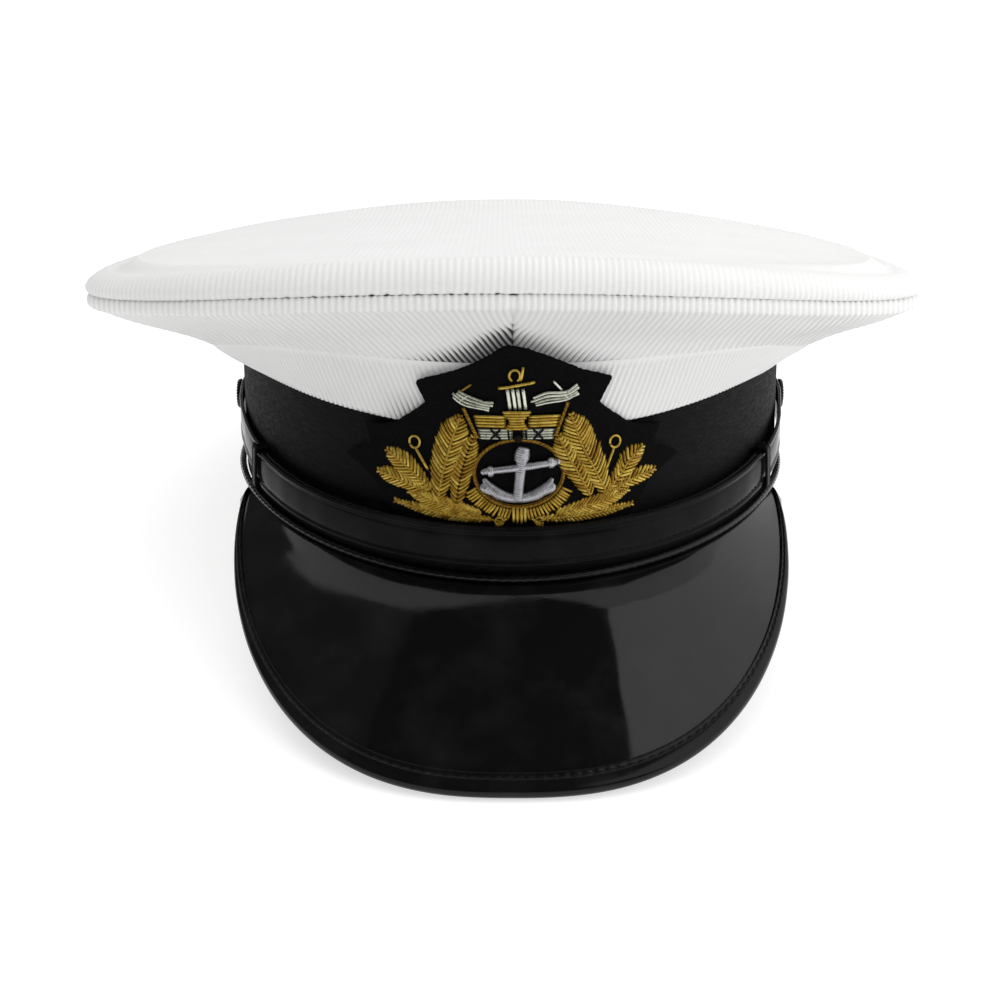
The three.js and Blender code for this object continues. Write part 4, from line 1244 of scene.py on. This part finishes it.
def badge_stems():
    shape = Shape()
    rng = np.random.default_rng(17)
    for end in ("left", "right"):
        spine, width, _ = LEAVES[end][0]
        leaf(shape, spine, width, 140 + len(end), angle=42, puff=0.35, pitch=1.1)
        way = -1 if end == "left" else 1
        ground = [(way * x + 1.8, h) for x, h in ((10.5, 20.6), (16.5, 21.6), (23, 23.0), (30, 25.2))]
        leaf(shape, ground, 2.3, 150 + len(end), angle=38, puff=0.3, pitch=1.05)
    # wires laid side by side under the ring
    for v in np.linspace(-1, 1, 34):
        a = math.radians(-90 + 66 * v)
        inner = np.array([1.8 + 12.9 * math.cos(a), 31.9 + 10.2 * math.sin(a)])
        outer = np.array([1.8 + 16.0 * math.cos(a), 31.0 + 12.3 * math.sin(a)])
        bar(shape, inner, outer + rng.normal(0, 0.15, 2), BACKING + 0.75, rng.uniform(0.35, 0.8), 0.38, 0.0,
            0.35)
    # the tie in the middle and the cut ends of the stems
    for x in (0.2, 1.3, 2.4, 3.4):
        bar(shape, (x, 22.4), (x + 0.1, 17.6 + 0.4 * abs(x - 1.8)), BACKING + 1.0, rng.uniform(0.5, 0.9),
            0.38, 0.1, 0.3)
    for x0, way in ((-3.6, -1), (7.4, 1)):
        loop(shape, (x0, 18.4), 1.1, 0, 340, BACKING + 0.8, 0.5, 0.34)
        bar(shape, (x0 - 2.2 * way, 19.3), (x0 + 1.0 * way, 17.0), BACKING + 0.75, 0.65, 0.36)
        bar(shape, (x0 + 0.2 * way, 18.6), (x0 + 0.2 * way, 16.4), BACKING + 0.7, 0.55, 0.34)
        bar(shape, (x0 - 1.4 * way, 18.2), (x0 + 2.6 * way, 18.9), BACKING + 0.7, 0.35, 0.34)
    shape.object("badge_stems_wire", GOLD, "cap", "gold_wire", ["badge_stems"])


def badge_ring():
    shape = Shape()
    a = np.linspace(0, TAU, 160)
    for width, height, radius, pitch, tone, depth in ((12.4, 9.7, 0.25, 1.25, 0.05, 0.6),
                                                      (11.9, 9.2, 0.12, 1.1, 0.0, 0.3)):
        path = np.column_stack([1.8 + width * np.cos(a), 32.1 + height * np.sin(a),
                                np.full(len(a), BACKING + depth)])
        twisted(shape, path, radius, pitch, 1, tone)
    shape.object("badge_ring_cord", GOLD, "cap", "gold_wire", ["badge_ring"])


def padded_bar(shape, path, radius, tone, depth):
    """A smooth padded limb, wrapped with fine wire."""
    step = 0.14
    path = resample(np.asarray(path, float), step=step)
    n = len(path)
    radius = np.interp(np.linspace(0, 1, n), np.linspace(0, 1, len(radius)), radius)
    run = np.arange(n) * step
    wrap = 1 + 0.05 * np.cos(TAU * run / 0.62)
    line = np.column_stack([path, np.full(n, BACKING + depth)])
    return lay(shape, line, radius * wrap, tone, 14, 0.72)


def badge_anchor():
    shape = Shape()
    # flukes: a crescent, thick in its arms
    a = np.radians(-90 + 74 * np.linspace(-1, 1, 40))
    arms = np.column_stack([1.6 + 9.7 * np.cos(a), 32.2 + 7.7 * np.sin(a) + 0.5])
    padded_bar(shape, arms, [0.5, 1.4, 1.65, 1.4, 1.25, 1.4, 1.65, 1.4, 0.5], 0.55, 0.65)
    for x0, way in ((-6.9, -1), (10.0, 1)):
        padded_bar(shape, [(x0, 29.6), (x0 + 1.0 * way, 28.2), (x0 - 1.2 * way, 26.4)], [0.4, 1.4, 0.7], 0.6,
                   0.8)
    padded_bar(shape, np.array([(1.4, 24.6), (1.9, 30), (2.8, 38.6)]), [1.45, 1.35, 1.4, 1.5, 1.8], 0.62,
               0.95)
    padded_bar(shape, np.array([(2.2, 35.6), (3.2, 39.6)]), [1.8, 2.15, 2.0, 1.5], 0.72, 1.0)
    padded_bar(shape, np.array([(-7.6, 32.7), (12.0, 35.2)]), [0.9, 0.95, 1.0, 1.05, 1.0, 0.95, 0.9], 0.66,
               1.2)
    for x, h in ((-6.0, 32.8), (10.6, 35.1)):
        padded_bar(shape, [(x - 1.15, h - 0.1), (x + 1.15, h + 0.15)], [0.6, 1.4, 1.55, 1.4, 0.6], 0.78, 1.25)
    for x, h in ((-8.0, 32.5), (12.5, 35.3)):
        padded_bar(shape, [(x - 0.6, h), (x + 0.6, h)], [0.5, 0.95, 0.5], 0.7, 1.0)
    shape.object("badge_anchor_purl", PEWTER, "cap", "silver_wire", ["badge_anchor"])
    dark = Shape()
    loop(dark, (1.5, 42.2), 0.62, 0, 350, BACKING + 1.0, 0.1, 0.5)
    lay(dark, [(1.5, 43.1, BACKING + 1.1), (1.5, 42.2, BACKING + 1.7), (1.5, 41.4, BACKING + 1.1)], 0.6, 0.1)
    dark.object("badge_bead", THREAD_BLACK, "cap", "badge_cloth")


def badge_bars():
    """A double bar: gold wires above, silver ones below, between two slanted cords."""
    gold, silver, black = Shape(), Shape(), Shape()
    rng = np.random.default_rng(23)
    for k, h in enumerate((48.6, 47.7, 46.8, 45.9)):
        bar(gold, (-10.4 + 0.2 * k, h), (-1.9, h - 0.1), BACKING + 0.85, rng.uniform(0.5, 0.9), 0.42, 0.1)
        bar(gold, (4.4, h), (12.9 - 0.2 * k, h + 0.1), BACKING + 0.85, rng.uniform(0.5, 0.9), 0.42, 0.1)
    for half, h in ((3.7, 50.0), (3.4, 49.2), (2.6, 48.4), (2.0, 47.6), (2.0, 46.8), (2.5, 46.0),
                    (3.0, 45.2)):
        bar(gold, (1.1 - half, h), (1.1 + half, h), BACKING + 1.2, rng.uniform(0.45, 0.85), 0.42, 0.05)
    for k, h in enumerate((44.6, 43.8, 43.0, 42.2)):
        bar(silver, (-9.4 + 0.15 * k, h), (0.0, h + 0.15), BACKING + 0.8, rng.uniform(0.4, 0.8), 0.40, 0.05)
        bar(silver, (2.8, h + 0.15), (11.6 - 0.15 * k, h), BACKING + 0.8, rng.uniform(0.4, 0.8), 0.40, 0.05)
    for x in (-4.6, 7.0):
        for way in (-1, 1):
            bar(black, (x - 1.3 * way, 44.9), (x + 1.3 * way, 42.1), BACKING + 1.35, 0.1, 0.34)
    for x in (-1.2, 3.5):
        bar(black, (x, 45.3), (x + 0.3, 42.0), BACKING + 1.25, 0.1, 0.3)
    for start, end in (((-13.3, 51.0), (-9.6, 42.2)), ((14.9, 52.6), (11.7, 42.8))):
        twisted(gold, [(*start, BACKING + 0.7), (*end, BACKING + 0.9)], 0.29, 1.4, 2, 0.1)
    gold.object("badge_bar_gold", GOLD, "cap", "gold_wire", ["badge_coronet"])
    silver.object("badge_bar_silver", SILVER, "cap", "silver_wire")
    black.object("badge_bar_stitches", THREAD_BLACK, "cap", "badge_cloth")


def strands(shape, route, count, spread, seed):
    """A bundle of wires side by side along a route."""
    rng = np.random.default_rng(seed)
    line = resample(flat_spline(route, 40), count=16)
    along = unit(np.gradient(line, axis=0))
    across = np.stack([-along[:, 1], along[:, 0]], 1)
    v = np.linspace(0, 1, 16)
    for k in range(count):
        place_in = (k - (count - 1) / 2) * spread
        open_out = np.interp(v, [0, 0.35, 0.8, 1], [0.85, 1.15, 0.8, 1.05])
        path = line + across * (place_in * open_out)[:, None]
        rise = BACKING + 0.7 + 0.35 * (1 - (2 * k / max(1, count - 1) - 1) ** 2) + 0.15 * np.sin(math.pi * v)
        first, last = rng.integers(0, 2), 16 - rng.integers(0, 2)
        lay(shape, np.column_stack([path, rise])[first:last], 0.37, rng.uniform(0.45, 0.98))


def badge_plumes():
    left, right, centre, gold = Shape(), Shape(), Shape(), Shape()
    strands(left, [(-15.9, 55.6), (-13.2, 53.6), (-9.3, 52.3), (-5.4, 51.5)], 4, 0.84, 5)
    bar(left, (-14.3, 52.9), (-12.1, 54.9), BACKING + 1.3, 0.75, 0.24)
    strands(right, [(5.0, 52.8), (9.4, 54.2), (14.2, 54.6), (18.0, 56.6)], 4, 0.84, 7)
    bar(right, (13.6, 55.6), (15.2, 53.4), BACKING + 1.3, 0.75, 0.24)
    bar(right, (14.6, 56.3), (16.0, 54.2), BACKING + 1.3, 0.6, 0.22)
    bar(right, (10.9, 58.9), (13.3, 56.2), BACKING + 0.6, 0.95, 0.34)
    for x, tone in ((-1.5, 0.75), (-0.1, 0.9), (1.2, 0.7), (2.7, 0.95)):
        bar(centre, (x, 56.9), (x + 0.8, 51.0), BACKING + 1.0, tone, 0.50, 0.05)
    bar(gold, (-3.8, 57.0), (5.9, 58.8), BACKING + 1.1, 0.8, 0.40, 0.0)
    loop(gold, (0.5, 60.7), 1.45, -60, 240, BACKING + 0.8, 0.6, 0.34, 1.15)
    bar(gold, (2.7, 63.1), (2.1, 59.3), BACKING + 0.9, 0.75, 0.36, 0.12)
    bar(gold, (-13.8, 55.9), (-11.2, 57.9), BACKING + 0.5, 0.15, 0.32)
    for where, shape in (("left", left), ("right", right), ("centre", centre)):
        shape.object(f"badge_plume_{where}_wire", SILVER, "cap", "silver_wire", [f"badge_plume_{where}"])
    gold.object("badge_plume_ties", GOLD, "cap", "gold_wire")


badge_patch()
badge_spray("left", -1)
badge_spray("right", 1)
badge_stems()
badge_ring()
badge_anchor()
badge_bars()
badge_plumes()

# ---------------------------------------------------------------- inside the cap


def disc_sheet(flat, low, high):
    """A closed disc over the flat grid of points, between two heights."""
    under, over = flat.copy(), flat.copy()
    under[..., 2], over[..., 2] = low, high
    return Shape().grid(np.concatenate([over, under[::-1]]), wrap_v=True)


def hoop_loop(columns, path):
    """A section of (offset, height) rows, set out from the band's lower edge and swept round the head."""
    t = angles_round(columns) - math.pi
    return np.stack([on_oval(t, offset, height + band_lift(t)) for offset, height in path])


def arc_round(offset):
    """t values and the length along the oval at this offset."""
    t = np.linspace(-math.pi, math.pi, 2401)
    line = on_oval(t, offset)
    return t, run_along(line)


SWEATBAND_LOW, SWEATBAND_HIGH = 1.5, 36.0
SWEATBAND_SEAM = 4.2  # height of its stitches over its lower edge


def sweatband():
    """Leather, rolled over at its lower edge, with a pressed line and a row of stitches."""
    low, high = SWEATBAND_LOW, SWEATBAND_HIGH
    heights = np.linspace(low + 1.0, high - 0.5, 70)
    groove = (0.22 * np.exp(-(((heights - low - SWEATBAND_SEAM) / 0.45) ** 2))
              + 0.14 * np.exp(-(((heights - high + 3.0) / 0.4) ** 2)))
    face = [(0.05 + g, h) for h, g in zip(heights, groove)]
    roll = [(0.95, low + 1.2), (0.98, low + 0.5), (0.75, low + 0.1), (0.4, low), (0.1, low + 0.3)]
    top = [(0.2, high - 0.1), (0.5, high), (0.8, high - 0.1), (0.95, high - 1)]
    points = hoop_loop(640, roll + face + top)
    ripple = 0.16 * waves(points, 38, 101) + 0.05 * waves(points, 9, 102)
    inward = unit(points * [1, 1, 0])
    points = points + inward * (np.abs(ripple) * 0.6)[..., None]
    Shape().grid(points, wrap_u=True, wrap_v=True).object(
        "sweatband_leather", SWEAT_LEATHER, "cap", "sweat_leather", ["sweatband"], weld_at=0.000002)
    fine, run = arc_round(0.1)

    def stitch(along):
        at = np.interp(along, run, fine)
        return on_oval(at, np.array([0.42, 0.12, 0.04, 0.12, 0.42]), low + SWEATBAND_SEAM + band_lift(at))

    stitch_row(run[-1], 3.0, (0.12, 0.3, 0.5, 0.7, 0.88), stitch, 0.18).object(
        "sweatband_stitches", THREAD_BLACK, "cap", "sweat_leather")
    # the band's ends are laced together at the back, under the bow
    lace = Shape()
    for k, h in enumerate(np.arange(low + 5, high - 3, 3.4)):
        way = 1 if k % 2 else -1
        ends = np.array([[-1.9 * way, h], [-0.6 * way, h + 0.9], [0.7 * way, h + 2.0], [1.9 * way, h + 3.0]])
        at = math.pi + ends[:, 0] / 100
        lace.tube(on_oval(at, np.array([0.3, -0.12, -0.12, 0.3]), ends[:, 1]), 0.28, 6)
    lace.object("sweatband_lace", THREAD_BLACK, "cap", "sweat_leather")


def ribbon(shape, path, half_height):
    """A ribbon stood on its edge along path, with fine cross ribs."""
    step, ribs = 0.22, 0.05
    path = resample(np.asarray(path, float), step=step)
    n = len(path)
    half = np.interp(np.linspace(0, 1, n), np.linspace(0, 1, len(half_height)), half_height)
    along = unit(np.gradient(path, axis=0))
    up = np.array([0.0, 0.0, 1.0])
    side = unit(up - along * (along @ up)[:, None])
    v = np.linspace(-1, 1, 13)
    outer = path[:, None] + side[:, None] * (half[:, None] * v)[..., None]
    n_out = normals_of(outer)
    outer = outer + n_out * (ribs * np.cos(TAU * np.arange(n) * step / 0.9))[:, None, None]
    return shell(shape, outer, 0.28)


def sweatband_bow():
    back = float(on_oval(math.pi, 0.0, 0.0)[1])
    shape = Shape()
    for way in (-1, 1):
        s = np.linspace(0, 1, 40)
        x = way * (0.5 + 8.4 * np.sin(math.pi * s) ** 0.8)
        y = back - 1.7 - 1.0 * np.cos(math.pi * s) * np.sin(math.pi * s) ** 0.35
        z = 20.4 + 0.5 * np.sin(math.pi * s)
        ribbon(shape, np.stack([x, y, z], -1), [1.1, 2.3, 3.2, 2.3, 1.1])
        tail = np.array([(way * 0.9, 0.0, 19.6), (way * 2.6, 0.25, 16.4), (way * 4.6, 0.1, 12.8),
                         (way * 6.1, 0.35, 9.6)])
        tail[:, 1] = back - 0.9 - tail[:, 1]
        line = resample(flat_spline(tail, 40), step=0.3)
        v = np.linspace(-1, 1, 11)
        across = unit(np.stack([np.gradient(line[:, 2]), np.zeros(len(line)), -np.gradient(line[:, 0])], -1))
        outer = line[:, None] + across[:, None] * (1.9 * v)[None, :, None]
        outer[..., 1] += 0.25 * np.cos(math.pi * v)[None, :] * np.linspace(0, 1, len(line))[:, None]
        shell(shape, outer, 0.26)
    a = np.linspace(0, TAU, 60)
    knot = np.stack([1.25 * np.cos(a), back - 1.75 + 1.15 * np.sin(a), np.full(len(a), 20.4)], -1)
    v = np.linspace(-1, 1, 13)
    middle = knot.mean(0)
    grid = middle + (knot - middle)[:, None] * (1 + 0.22 * (1 - v**2))[None, :, None]
    grid[..., 2] = 20.4 + 1.7 * v
    shell(shape, grid, 0.26, flip=True)
    shape.object("sweatband_bow_ribbon", THREAD_BLACK, "cap", "sweat_leather", ["sweatband_bow"],
                 weld_at=0.000002)


def canvas_collar():
    """Woven stiff canvas inside the wall of the crown."""
    columns, rows = 900, 34
    t = angles_round(columns) - math.pi
    low = BAND_HEIGHT + GAP + band_lift(t)
    tall = np.maximum(around(t, 58, 52, 55, 4) - low, 2.0)
    u = np.linspace(0, 1, rows)[:, None]
    height = low + tall * u
    fine, run = arc_round(4)
    arc = np.interp(t, fine, run)
    weave = 0.12 * np.cos(math.pi * arc / 0.9)[None, :] * np.cos(math.pi * height / 0.9)
    outer = on_oval(t[None, :], 3.0 + 1.2 * u + 0.75 + weave, height)
    inner = on_oval(t[None, :], 3.0 + 1.2 * u + weave, height)
    loop = np.concatenate([outer, inner[::-1]])
    Shape().grid(loop, wrap_u=True, wrap_v=True).object(
        "stand_canvas_collar", CANVAS, "cap", "board", ["stand_canvas"], weld_at=0.000002)


def rim_hoop():
    """The sprung wire that holds the rim out, with the ferrule that joins its ends at the back."""

    def route(t):
        return crown_shift(on_oval(t, rim_offset(t) - HOOP_INSET, rim_height(t) + HOOP_RISE), 1)

    Shape().tube(route(angles_round(480) - math.pi), 1.35, 14, closed=True).object(
        "rim_hoop", STEEL, "cap", "spring_steel", ["rim_grommet"], weld_at=0.000002)
    at = np.linspace(-0.07, 0.07, 31)
    radius = 1.62 + 0.10 * np.cos(np.linspace(-math.pi, math.pi, 31) * 5)
    Shape().tube(route(math.pi + at), radius, 20).object(
        "rim_hoop_ferrule", DARK_METAL, "cap", "spring_steel")


def front_stay():
    path = spline(np.array([[2.05, 22], [2.05, 44], [4.2, 60], [10, 75], [26, 84.5]], float),
                  np.linspace(0, 1, 120))
    half = np.full(120, 0.07)
    half[:10] *= np.sqrt(np.linspace(0.12, 1, 10))
    half[-10:] *= np.sqrt(np.linspace(1, 0.12, 10))
    v = np.linspace(-1, 1, 17)
    t = half[:, None] * v[None, :]
    crown = 0.10 * (1 - v**4)[None, :]
    outer = on_oval(t, path[:, :1] + 0.6 + crown, path[:, 1:] + 0 * t)
    shell(Shape(), outer, 0.6).object("front_stay_spring", STEEL, "cap", "spring_steel", ["front_stay"],
                                      weld_at=0.000002)
    rivets = Shape()
    for h, offset in ((27, 2.05), (38, 2.05)):
        for x in (-3.2, 3.2):
            a = np.linspace(0, TAU, 25)[:-1]
            rows = []
            for r, out in ((0.01, 0.62), (0.5, 0.58), (0.95, 0.36), (1.2, 0.0), (1.2, -0.2)):
                rows.append(on_oval((x + r * np.cos(a)) / 88.0, offset + 0.62 + out, h + r * np.sin(a)))
            rivets.grid(np.stack(rows), wrap_v=True)
    rivets.object("front_stay_rivets", DARK_METAL, "cap", "spring_steel")


def wadding():
    """The quilted pad over the lining."""
    columns, rings = 260, 70
    t = angles_round(columns)
    r = np.linspace(0.004, 1, rings)[:, None]
    edge = on_oval(t, 0.0, 0.0) * 0.72
    flat = edge[None] * r[..., None]

    def face(top):
        d1 = np.abs((flat[..., 0] + flat[..., 1] + 400) % 24 - 12)
        d2 = np.abs((flat[..., 0] - flat[..., 1] + 400) % 24 - 12)
        quilt = 1 - 0.8 * np.exp(-((d1 / 1.7) ** 2)) - 0.8 * np.exp(-((d2 / 1.7) ** 2))
        puff = 1.9 * (1 - r**10) * np.clip(quilt, 0.15, 1)
        soft = 0.15 * waves(flat, 14, 131)
        made = flat.copy()
        made[..., 2] = WADDING_HEIGHT + (puff + soft * (r < 0.98)) * (1 if top else -1)
        return made

    loop = np.concatenate([face(True), face(False)[::-1]])
    made = Shape().grid(loop, wrap_v=True).object(
        "crown_wadding_pad", WADDING, "cap", "wadding", ["crown_wadding"], weld_at=0.000005)


TIP_HEIGHT = 61.5
WADDING_HEIGHT = 67  # the middle of the crown's wadding
HOOP_INSET, HOOP_RISE = 4.2, 2.6  # the wire hoop, in from the rim and up from it
SHIELD_SHARE = 0.58  # the shield's share of the head opening


def lining():
    """The satin lining: a gathered side piece, the oval tip, and the piped seam between them."""
    columns = 1050
    t = angles_round(columns) - math.pi
    fine, run = arc_round(0)
    arc = np.interp(t, fine, run)
    foot = SWEATBAND_HIGH + GAP + band_lift(t)
    knots = [(0.45, foot), (0.5, 0.5 * (foot + 55)), (0.2, 54.5 + 0 * t), (-1.1, 58.5 + 0 * t),
             (-3.2, 60.4 + 0 * t),
             (-5.4, 61.1 + 0 * t)]
    knots = np.stack([np.stack([np.broadcast_to(o, t.shape), h], -1) for o, h in knots], 1)
    rows = 46
    path = spline(knots, np.linspace(0, 1, rows))
    offset, height = path[..., 0].T, path[..., 1].T
    u = np.linspace(0, 1, rows)[:, None]
    rng = np.random.default_rng(141)
    wander = arc[None, :] + 1.6 * waves(on_oval(t[None, :], offset, height), 30, 142)
    pleat = np.cos(TAU * wander / 7.2) + 0.5 * np.cos(TAU * wander / 3.7 + rng.uniform(0, TAU))
    lift = (0.10 + 0.42 * u**1.6) * pleat * smooth(0, 0.12, u)
    lean = smooth(0.45, 0.95, u)
    outer = on_oval(t[None, :], offset + 0.6 * (1 - lean) + lift * (1 - lean),
                    height + (0.6 + lift * 0.7) * lean)
    inner = on_oval(t[None, :], offset + lift * (1 - lean), height + lift * 0.7 * lean)
    loop = np.concatenate([outer, inner[::-1]])
    Shape().grid(loop, wrap_u=True, wrap_v=True).object(
        "lining_side_satin", SATIN, "cap", "lining_satin", ["lining_side"], weld_at=0.000002)
    # the tip
    columns, rings = 420, 60
    t = angles_round(columns)
    r = np.linspace(0.004, 1, rings)[:, None]
    rim = on_oval(t, -5.9, 0.0)
    flat = rim[None] * r[..., None]
    pucker_in = 0.22 * np.cos(t * 74 + 2 * np.sin(5 * t))[None, :] * smooth(0.8, 1.0, r)
    soft = 0.22 * waves(flat, 60, 151)
    low = TIP_HEIGHT + 0.8 * (1 - r * r) + pucker_in + soft * (1 - r**6)
    disc_sheet(flat, low, low + 0.6).object(
        "lining_tip_satin", SATIN, "cap", "lining_satin", ["lining_tip"], weld_at=0.000005)
    # a piping of the same satin over the seam
    t = angles_round(900) - math.pi
    twist = 0.06 * np.cos(t * 260)
    Shape().tube(on_oval(t, -5.75, 60.9 + 0 * t), 0.65 + twist, 10, closed=True).object(
        "lining_piping", SATIN, "cap", "lining_satin", weld_at=0.000002)


def sweat_shield():
    """The clear film over the lining's tip, sewn on round its edge."""
    columns, rings = 360, 60
    t = angles_round(columns)
    r = np.concatenate([np.linspace(0.004, 0.97, rings - 4), [0.978, 0.986, 0.994, 1.0]])[:, None]
    flat = (on_oval(t, 0.0, 0.0) * SHIELD_SHARE)[None] * r[..., None]
    crease = (0.16 * np.abs(np.sin(t * 9 + 3 * np.sin(2 * t)))[None, :]
              * smooth(0.55, 0.95, r) * smooth(1.0, 0.97, r))
    low = TIP_HEIGHT - 1.0 - 0.6 * r - 0.35 + 0.22 * waves(flat, 48, 161) * (1 - r**8) - crease
    bead = 0.22 * smooth(0.965, 0.98, r)
    disc_sheet(flat, low - bead, low + 0.3 + bead).object(
        "sweat_shield_film", FILM, "cap", "clear_film", ["sweat_shield"], weld_at=0.000003)
    edge = on_oval(np.linspace(0, TAU, 2401), 0.0, 0.0) * SHIELD_SHARE * 0.985
    run = run_along(edge)

    def stitch(along):
        height = TIP_HEIGHT - 2.0 + np.array([0.15, -0.3, -0.3, 0.15])
        return np.stack([np.interp(along, run, edge[:, i]) for i in (0, 1)] + [height], -1)

    stitch_row(run[-1], 3.4, (0.15, 0.35, 0.65, 0.85), stitch, 0.15).object(
        "sweat_shield_stitches", THREAD_WHITE, "cap", "lining_satin")


def stiffener():
    """The fibre-board hoop inside the band."""
    inner = [(2.42 + 0.03 * (k % 2), 0.7 + 42.8 * k / 30) for k in range(31)]
    outer = [(3.27, 43.5 - 42.8 * k / 30) for k in range(31)]
    points = hoop_loop(600, [(2.45, 0.65)] + inner + [(2.9, 43.58)] + outer + [(2.9, 0.62)])
    points = points + unit(points * [1, 1, 0]) * (0.04 * waves(points, 12, 171))[..., None]
    Shape().grid(points, wrap_u=True, wrap_v=True).object(
        "band_stiffener_board", BOARD, "cap", "board", ["band_stiffener"], weld_at=0.000002)


sweatband()
sweatband_bow()
stiffener()
canvas_collar()
rim_hoop()
front_stay()
wadding()
lining()
sweat_shield()

# ---------------------------------------------------------------- camera, floor and light

HEAD_ON = -0.0034  # the photograph's middle lies this far to the left of the cap's own


def add_object(name, data):
    made = bpy.data.objects.new(name, data)
    bpy.context.scene.collection.objects.link(made)
    return made


def camera():
    data = bpy.data.cameras.new("camera")
    data.sensor_width, data.lens = 36.0, 63.9
    data.clip_start, data.clip_end = 0.02, 20
    made = add_object("camera", data)
    target = Vector((HEAD_ON, 0.00184, 0.01269))
    made.location = Vector((HEAD_ON, -0.5332, 0.2841))
    made.rotation_mode = "QUATERNION"
    made.rotation_quaternion = (target - made.location).to_track_quat("-Z", "Y")
    bpy.context.scene.camera = made


def panel(name, near, far, y_low, y_high, radiance):
    """A big soft panel that slopes from its upper edge, near, to its lower edge, far, as (x, z)."""
    (x0, z0), (x1, z1) = near, far
    across = math.hypot(x1 - x0, z1 - z0)
    data = bpy.data.lights.new(name, "AREA")
    data.shape, data.size, data.size_y = "RECTANGLE", across, y_high - y_low
    data.energy = radiance * math.pi * across * (y_high - y_low)
    made = add_object(name, data)
    made.location = ((x0 + x1) / 2, (y_low + y_high) / 2, (z0 + z1) / 2)
    slope = Vector((x1 - x0, 0, z1 - z0)).normalized()
    length = Vector((0, 1, 0))
    back = slope.cross(length)
    if back.dot(Vector(made.location)) < 0:
        length, back = -length, -back
    made.rotation_mode = "QUATERNION"
    made.rotation_quaternion = Matrix((slope, length, back)).transposed().to_quaternion()
    made.visible_camera = False
    return made


def studio():
    floor_mesh = bpy.data.meshes.new("floor")
    half = 6.0
    floor_mesh.from_pydata([(-half, -half, -0.0002), (half, -half, -0.0002), (half, half, -0.0002),
                            (-half, half, -0.0002)],
                           [], [(0, 1, 2, 3)])
    n = Nodes("floor_paper", Roughness=0.9, Specular_IOR_Level=0.1, Emission_Color=rgb(1, 1, 1),
              Emission_Strength=0.6)
    grain = n.noise(220, 3)
    n.set(Base_Color=n.blend(grain, 0.4, 0.6, (0.6, 0.6, 0.6), (0.59, 0.59, 0.59)))
    floor_mesh.materials.append(n.material)
    floor = add_object("floor", floor_mesh)

    world = bpy.data.worlds.new("studio")
    bpy.context.scene.world = world
    world.use_nodes = True
    world.node_tree.nodes["Background"].inputs["Color"].default_value = (1, 1, 1, 1)
    world.node_tree.nodes["Background"].inputs["Strength"].default_value = 0.44
    world.cycles_visibility.glossy = False

    panel("window", (0.36, 1.0), (1.7, 0.06), -1.3, 1.7, 1.12)
    panel("fill", (-0.42, 1.0), (-1.7, 0.06), -1.3, 1.7, 0.06)
    overhead = panel("overhead", (-1.05, 1.4), (0.35, 1.4), -0.8, 0.8, 1.4)
    overhead.visible_glossy = False
    bpy.context.scene.view_settings.view_transform = "Standard"
    bpy.context.scene.view_settings.look = "None"


camera()
studio()
